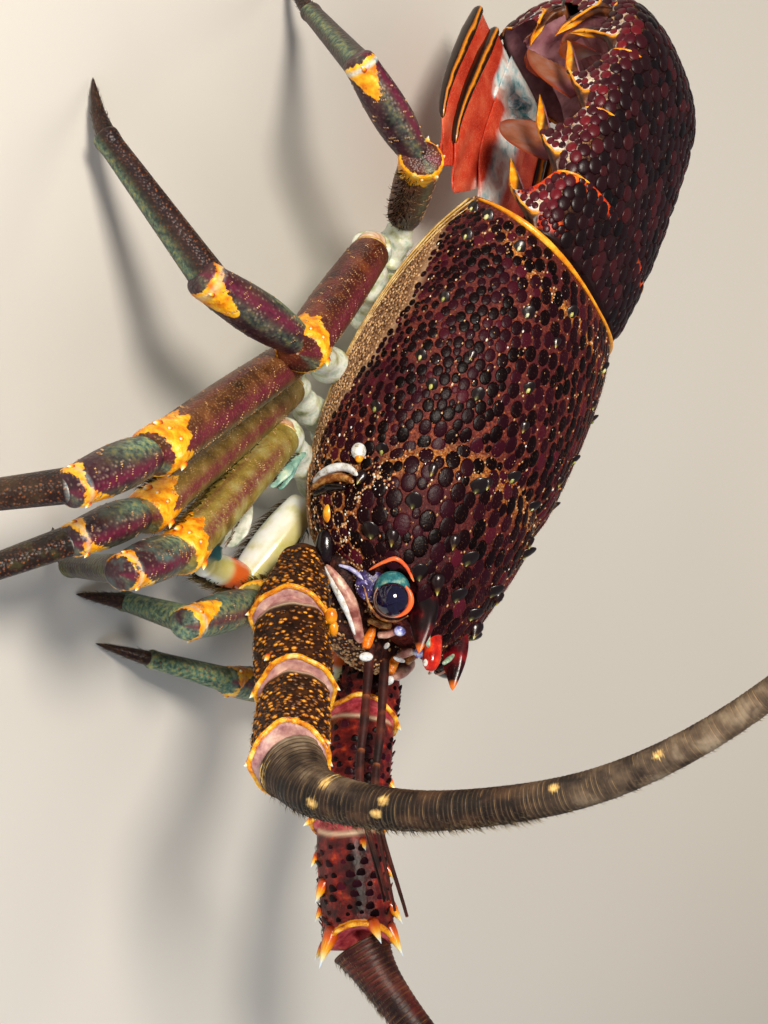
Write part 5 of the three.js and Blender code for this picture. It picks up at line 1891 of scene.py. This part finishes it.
def make_maxillipeds():
    """The outer jaw limbs, folded under the head: porcelain white with dark bristles inside."""
    hairs = []
    for side, joints in MAXILLIPEDS.items():
        parts = []
        for i, (first, last) in enumerate(zip(joints, joints[1:])):
            skin, marks = jaw_part(i, first, last)
            parts.append(wrap(skin, 32, 36, 0, marks))
            hairs.append(fringe(skin, 260, 3.6 if side == "right" else 5.8, 0.4, 2.6, 0.4))
            if i == 0:
                for edge in BRISTLE_EDGES:
                    turn = edge if side == "right" else math.pi - edge
                    hairs.append(fringe(skin, 90, turn, 0.1, 2.4, 0.5))
        finish_piece(f"maxilliped_{side}", joined(parts), ["porcelain"], [f"maxilliped_{side}"])
    for side, hand in SIDES.items():
        make_jaw_blades(side, hand, hairs)
    strewn("maxilliped_bristles", HAIR, hairs, "setae")


make_maxillipeds()


# The tail

# Share of the way down a side plate, and how many millimetres back it sweeps there
PLATE_SWEEP = [(0.0, -1.0), (0.15, -4.5), (0.35, -7.4), (0.6, -7.4), (0.8, -4.6), (1.0, 2.2)]
HEM = TURN / 16  # the turn between a ring's side and the lower edge of its side plate
RING_OVERLAP = 0.8  # how far each ring begins under the one before it, in millimetres
RING_REAR = 0.8  # how far along a ring's skin its rear edge lies: the rest is inside
LINE_UP = 2.9  # how far above a side plate's lower edge its gold line runs, in millimetres
PLATE_LINE = [0.15, 0.26, 0.3, 0.36]
REAR_LINE = [0.2, 0.34, 0.2]


def tail_point(s, x, h):
    """A place of the tail: s along its middle line, x to the side and h above it."""
    turn = np.maximum(s - TAIL_STRAIGHT, 0) / TAIL_BEND
    straight = np.minimum(s, TAIL_STRAIGHT)
    y = TAIL_START + straight + (TAIL_BEND + h) * np.sin(turn)
    z = TAIL_LEVEL - TAIL_BEND + (TAIL_BEND + h) * np.cos(turn)
    return stack(x, y, z)


def plate_level(turn):
    """How far down a side plate's outer face (0 to 1), across its edge (to 2) and on to the belly (to 3)."""
    turn = np.mod(turn, TURN)
    return np.where(turn > math.pi, np.minimum(turn - math.pi, TURN - turn) / HEM, 0)


def ring_skin(i, begin, end):
    """A ring: its dome, its side plates that curve back to points, and the belly's soft floor between them.
    Past its rear edge the skin turns in and runs forwards again inside the ring."""
    after = min(i + 1, 5)

    def size(table, t):
        return table[i] + (table[after] - table[i]) * t

    def skin(along, turn):
        turn = np.mod(turn, TURN)
        inner = np.clip((along - RING_REAR) / (1 - RING_REAR), 0, 1)
        t = np.where(along < RING_REAR, along / RING_REAR, 1 - 0.95 * inner)
        wall = np.minimum(1, inner * 9)
        under = plate_level(turn)
        a, b, c = np.clip(under, 0, 1), np.clip(under - 1, 0, 1), np.clip(under - 2, 0, 1)
        sine = np.maximum(np.sin(turn), 0)
        sweep = np.interp(np.where(under > 1, 1 - b, a), *zip(*PLATE_SWEEP)) * (end - begin) / 16
        sweep = np.where(under > 0, sweep, PLATE_SWEEP[0][1] * (1 - sine) ** 2)
        s = begin + (end - begin + sweep) * t
        hand = np.where(np.cos(turn) < 0, -1, 1)
        tuck = 0.95 + 0.05 * step(t, 0.02, 0.3)
        width, drop = size(RING_HALF_WIDTH, t) * tuck, size(RING_DROP, t)
        point = RING_EAVES + (-RING_PLEURON[i] - RING_EAVES) * t ** 1.15
        thick = wall * (0.3 + 0.6 * step(sine, 0, 0.3))
        crown_x = (width - thick) * power(np.cos(turn), 0.8)
        crown_h = RING_EAVES + (size(RING_RISE, t) * tuck - thick) * sine ** 0.9
        flare = 1.1 * np.sin(math.pi * a) * t
        x_tip = hand * (width + flare - thick)
        h_tip = RING_EAVES + (point - RING_EAVES) * a + 0.3 * wall * a
        x = x_tip + (hand * (width - RING_PLATE * (0.35 + 0.65 * b) + 0.3 * wall) - x_tip) * b
        h = h_tip + (-drop * 0.2 - h_tip) * b
        belly_turn = np.where(hand < 0, math.pi + 3 * HEM, TURN - 3 * HEM)
        x = x + (width * 0.9 * np.cos(belly_turn) - x) * c
        h = h + (drop * np.sin(belly_turn) + wall * 0.6 - h) * c
        deep = under > 3
        x = np.where(deep, width * 0.9 * np.cos(turn), x)
        h = np.where(deep, drop * np.sin(turn) + wall * 0.6, h)
        above = np.sin(turn) >= 0
        return tail_point(s, np.where(above, crown_x, x), np.where(above, crown_h, h))
    return skin


def plate_depth(i, along, turn):
    """Millimetres up from the lower edge of a side plate, 99 where there is none."""
    under = plate_level(turn)
    height = (RING_EAVES + RING_PLEURON[i]) * np.clip(along / RING_REAR, 0, 1) ** 1.15
    return np.where((under > 0) & (under < 1), (1 - under) * height, np.where(under >= 1, -1.0, 99.0))


def ring_marks(i):
    """What a ring's material reads: its red lobes, painted shade on its back, painted light on its lower
    flanks, side plates with their lines and tips.
    """
    def marks(along, turn):
        under = plate_level(turn)
        degrees = signed(turn)
        depth = plate_depth(i, along, turn)
        edge = (under > 0) & (under < 2)
        t = along / RING_REAR
        red = (1 - step(t, 0.22, 0.3)) * (1 - step(degrees, 26, 44)) * (degrees > -10)
        red = np.maximum(red, step(t, 0.84, 0.9) * (1 - step(degrees, 60, 85)) * (degrees > -12))
        near = np.exp(-(((depth - 4.0) / 2.2) ** 2)) * (depth > 2.8)
        return {
            "red": red * (i == 0),
            # painted shade, darkening up the back
            "crown": step(degrees, 8, 42),
            "blade": edge * (1 - step(depth, 2.4, 2.8)),
            "line": edge * np.exp(-(((depth - LINE_UP) / 0.4) ** 2)),
            # painted light on the lower flanks and above the side plates' lines
            "glow": np.clip(near + 0.35 * (1 - step(degrees, 6, 22)) * (under == 0), 0, 1),
            "tip": edge * step(t, 0.7, 0.86) * (1 - step(depth, 2.6, 4.0)),
            "belly": np.maximum(step(under, 1.9, 2.1), step(t, 1.01, 1.02)),
            "front": 1 - step(t, 0.04, 0.12),
        }
    return marks


def ring_scales(i, skin):
    """Domed scales packed on a ring: they grow larger up the back, and few stand on its red lobes."""
    def room(points, along, turn):
        degrees = signed(turn)
        depth = plate_depth(i, along, turn)
        size = 1.0 + 0.5 * step(degrees, 0, 40)
        size *= chance.uniform(0.66, 1.15, len(size))
        size = np.where(depth < 6, size * 0.75, size)
        red = ring_marks(i)(along, turn)["red"] > 0.5
        size = np.where(red, size * (chance.random(len(size)) < 0.35) * 0.6, size)
        return np.where(depth > 3.1 + size, size, 0)
    ends = 0.08 * RING_REAR, 0.97 * RING_REAR
    along, turn, size = sown(skin, 6500, room, *ends, -HEM, math.pi + HEM, packing=0.8)
    sizes = stack(size * 0.98, size * 1.16, 0.1 + size * 0.22)
    # painted shade for the scales up the back
    crown = step(signed(turn), 8, 42)
    return sprouting(skin, along, turn, sizes, 0.05, tint=chance.random(len(size)), crown=crown)


def ring_lines(i, skin):
    """Thin raised lines: along each side plate above its lower edge, and along the ring's rear edge."""
    t = np.linspace(0.3, 0.97, 40)
    height = (RING_EAVES + RING_PLEURON[i]) * t ** 1.15
    under = np.clip(1 - LINE_UP / height, 0.02, 1)
    lines = []
    for turn in (math.pi + under * HEM, TURN - under * HEM):
        points, normals, _ = on_skin(skin, t * RING_REAR, turn)
        lines.append(strand(points + normals * 0.02, PLATE_LINE, 8, 60, curved=False))
    for first, last in ((2, 42), (138, 178)):
        turn = np.radians(np.linspace(first, last, 40))
        points = skin(np.full(40, 0.985 * RING_REAR), turn)
        lines.append(strand(points, REAR_LINE, 8, 60, curved=False))
    return lines


def make_tail():
    """Six rings, each paved with domed scales."""
    scales, lines = [], []
    front = 0
    for i, length in enumerate(RING_LENGTH):
        skin = ring_skin(i, front - (RING_OVERLAP if i else 0), front + length)
        name = f"tail_ring_{i + 1}"
        finish_piece(name, wrap(skin, 208, 54, 0, ring_marks(i)), ["tail"], [name])
        scales.append(ring_scales(i, skin))
        lines += ring_lines(i, skin)
        front += length
    strewn("tail_scales", DOME, scales, "tail_scale")
    finish_piece("tail_edges", joined(lines), ["rim"])


def make_soft_floor():
    """The soft mauve skin that shows between the side plates and the swimmerets."""
    def skin(t, turn):
        s = 1.5 + 76 * t
        inset = np.interp(s, [0, 50, 88], [18.8, 17.0, 12.5])
        cap = rounded(t, 14)
        fold = 0.2 * np.sin(s * 1.3 + 2 * np.sin(turn * 3))
        return tail_point(s, np.cos(turn) * inset * cap, -0.8 + np.sin(turn) * (3.6 + fold) * cap)
    finish_piece("tail_soft_floor", wrap(skin, 96, 150), ["tail_skin"])


FAN_BLADES = {  # its root's place on the right side and level, its heading, length, half width, thickness
    "telson": ((0, 0), 0, 40, 9.5, 1.9),
    "uropod_inner": ((7.8, -1.1), 5, 41.5, 9.9, 1.3),
    "uropod_outer": ((14.6, -2.3), 4, 39, 9.9, 1.3),
}
PLEOPOD_SHAPE = [(8.8, 7), (10.4, 12), (7.4, 7), (5.0, 4)]  # half width, and how far back the tip lies
FAN_BAR = [1.2, 1.75, 1.6, 1.25, 0.7]
FAN_LUMPS = [  # x, y, z, radius
    (-3.5, 136, 19.4, 2.0), (0.5, 138.5, 19.6, 2.2), (4.5, 136, 19.4, 2.0), (-9, 134, 17.6, 1.7),
    (9, 134, 17.6, 1.7), (-1.5, 132.5, 19.8, 1.4), (2.5, 132, 19.8, 1.4),
]


def fan_skin(root, heading, length, half, thickness):
    """One flat blade of the fan: hard and lumpy near its root, soft and finely grained beyond."""
    turn_by = math.radians(heading)

    def skin(t, turn):
        width = half * (0.9 + 0.1 * np.sin(np.minimum(1, t * 2) * math.pi / 2))
        width = width * np.sqrt(np.clip(1.002 - (np.maximum(0, t - 0.48) / 0.52) ** 2.1, 0.002, 1))
        lump = 1 + 0.4 * np.sin(t * 21 + 2 * np.cos(turn)) * (1 - step(t, 0.2, 0.34))
        across = np.cos(turn) * width
        reach = t * length * (1 - 0.07 * np.cos(turn) ** 2 * t)
        wave = 0.25 * np.sin(across * 0.9) * step(t, 0.4, 0.8)
        face = np.sin(turn) * thickness * 0.5 * rounded(t, 10) * lump
        return stack(root[0] + across * math.cos(turn_by) + reach * math.sin(turn_by),
                     root[1] - reach * math.cos(turn_by) + across * math.sin(turn_by),
                     root[2] + FAN_SLOPE * t + wave + face)
    return skin


def make_blade(name, skin):
    def marks(along, turn):
        aside = np.abs(skin(along, turn)[:, 0])
        inner = 0.8 * (1 - step(aside, 1.0, 9.5))
        proximal = (1 - step(along, 0.2, 0.42)) * (1 - step(aside, 9, 14))
        return {"pale": np.maximum(inner, proximal)}
    finish_piece(name, wrap(skin, 96, 80, 0, marks), ["fan"], [name])


def make_fan():
    """The fan, folded forwards under the tail: soft red plates, the outer ones with hard dark margins."""
    bars, lumps = [], []
    for key, (root, heading, *sizes) in FAN_BLADES.items():
        if key == "telson":
            make_blade(key, fan_skin((root[0], FAN_Y, FAN_Z + root[1]), heading, *sizes))
            continue
        for side, hand in SIDES.items():
            skin = fan_skin((hand * root[0], FAN_Y, FAN_Z + root[1]), hand * heading, *sizes)
            make_blade(f"{key}_{side}", skin)
            margin = skin(np.linspace(0.0, 0.86, 40), np.full(40, math.pi if hand < 0 else 0.0))
            line = margin + np.array([0, 0, 0.2])
            bars.append(strand(line, FAN_BAR, 20, 110, 0, 0.8, curved=False, round_ends=0.06))
    for x, y, z, size in FAN_LUMPS:
        lump = ball_skin(np.array((x, y, z)), (size, size * 0.5, size * 1.15), (0.3, 1, 0))
        lumps.append(wrap(lump, 20, 14))
    finish_piece("fan_bars", joined(bars), ["fan_bar"])
    finish_piece("fan_lumps", joined(lumps), ["fan_lump"])


def pleopod_skin(i, hand):
    """A soft leaf that hangs from a ring's end and sweeps back, a little bowl-shaped."""
    length, drop = PLEOPOD_LENGTH[i], RING_DROP[i + 1]
    half, lean = PLEOPOD_SHAPE[i]
    root = sum(RING_LENGTH[:i + 2]) - 7

    def skin(t, turn):
        width = half * np.sin(math.pi * (0.12 + 0.86 * np.clip(t, 0, 1) ** 1.2)) ** 0.7
        bowl = 0.9 * np.cos(turn) ** 2 * np.sin(math.pi * t)
        s = root + lean * t + (np.sin(turn) * 0.4 + bowl) * rounded(t, 10) - 0.75 * np.cos(turn) * width
        aside = hand * (13 + 3 * t) + hand * np.cos(turn) * width * 0.6
        return tail_point(s, aside, -drop - 0.3 - t * length)
    return skin


def pleopod_marks(along, turn):
    outline = np.maximum(step(np.abs(np.cos(turn)), 0.8, 0.98), step(along, 0.86, 0.97))
    return {"outline": outline, "root": 1 - step(along, 0.1, 0.4)}


def make_pleopods():
    """Swimmerets on both sides of the four middle rings."""
    for i in range(len(PLEOPOD_LENGTH)):
        for side, hand in SIDES.items():
            name = f"pleopod_{side}_{i + 2}"
            leaf = wrap(pleopod_skin(i, hand), 56, 40, 0, pleopod_marks)
            finish_piece(name, leaf, ["pleopod"], [name])


make_tail()
make_soft_floor()
make_fan()
make_pleopods()


# The floor and the light

def make_floor():
    bm = bmesh.new()
    bmesh.ops.create_grid(bm, x_segments=4, y_segments=4, size=3.0)
    mesh = bpy.data.meshes.new("floor")
    bm.to_mesh(mesh)
    bm.free()
    floor = bpy.data.objects.new("floor", mesh)
    mesh.materials.append(LOOKS["floor"])
    bpy.context.scene.collection.objects.link(floor)


def add_light(name, place, target, size, power_watts, colour, mirrored=False):
    light = bpy.data.lights.new(name, "AREA")
    light.shape = "DISK"
    light.size = size
    light.energy = power_watts
    light.color = linear(colour)[:3]
    lamp = bpy.data.objects.new(name, light)
    place, target = Vector(to_metres(place)), Vector(to_metres(target))
    aim = (target - place).to_track_quat("-Z", "Y")
    lamp.matrix_world = Matrix.Translation(place) @ aim.to_matrix().to_4x4()
    lamp.visible_glossy = mirrored
    bpy.context.scene.collection.objects.link(lamp)


def make_light():
    middle = (-10, 40, 35)
    add_light("key", (-420, 60, 420), middle, 0.16, 3.9, "#fff4e6", True)
    add_light("fill", (-120, -480, 300), middle, 0.5, 1.6, "#eaf2ff")
    add_light("back", (350, 320, 380), middle, 0.5, 1.7, "#fff1e0")
    world = bpy.data.worlds.new("studio")
    world.use_nodes = True
    sky = world.node_tree.nodes["Background"]
    sky.inputs["Color"].default_value = linear("#dfe3e8")
    sky.inputs["Strength"].default_value = 0.2
    bpy.context.scene.world = world
    view = bpy.context.scene.view_settings
    view.view_transform = "Standard"
    view.look = "None"


make_floor()
make_light()
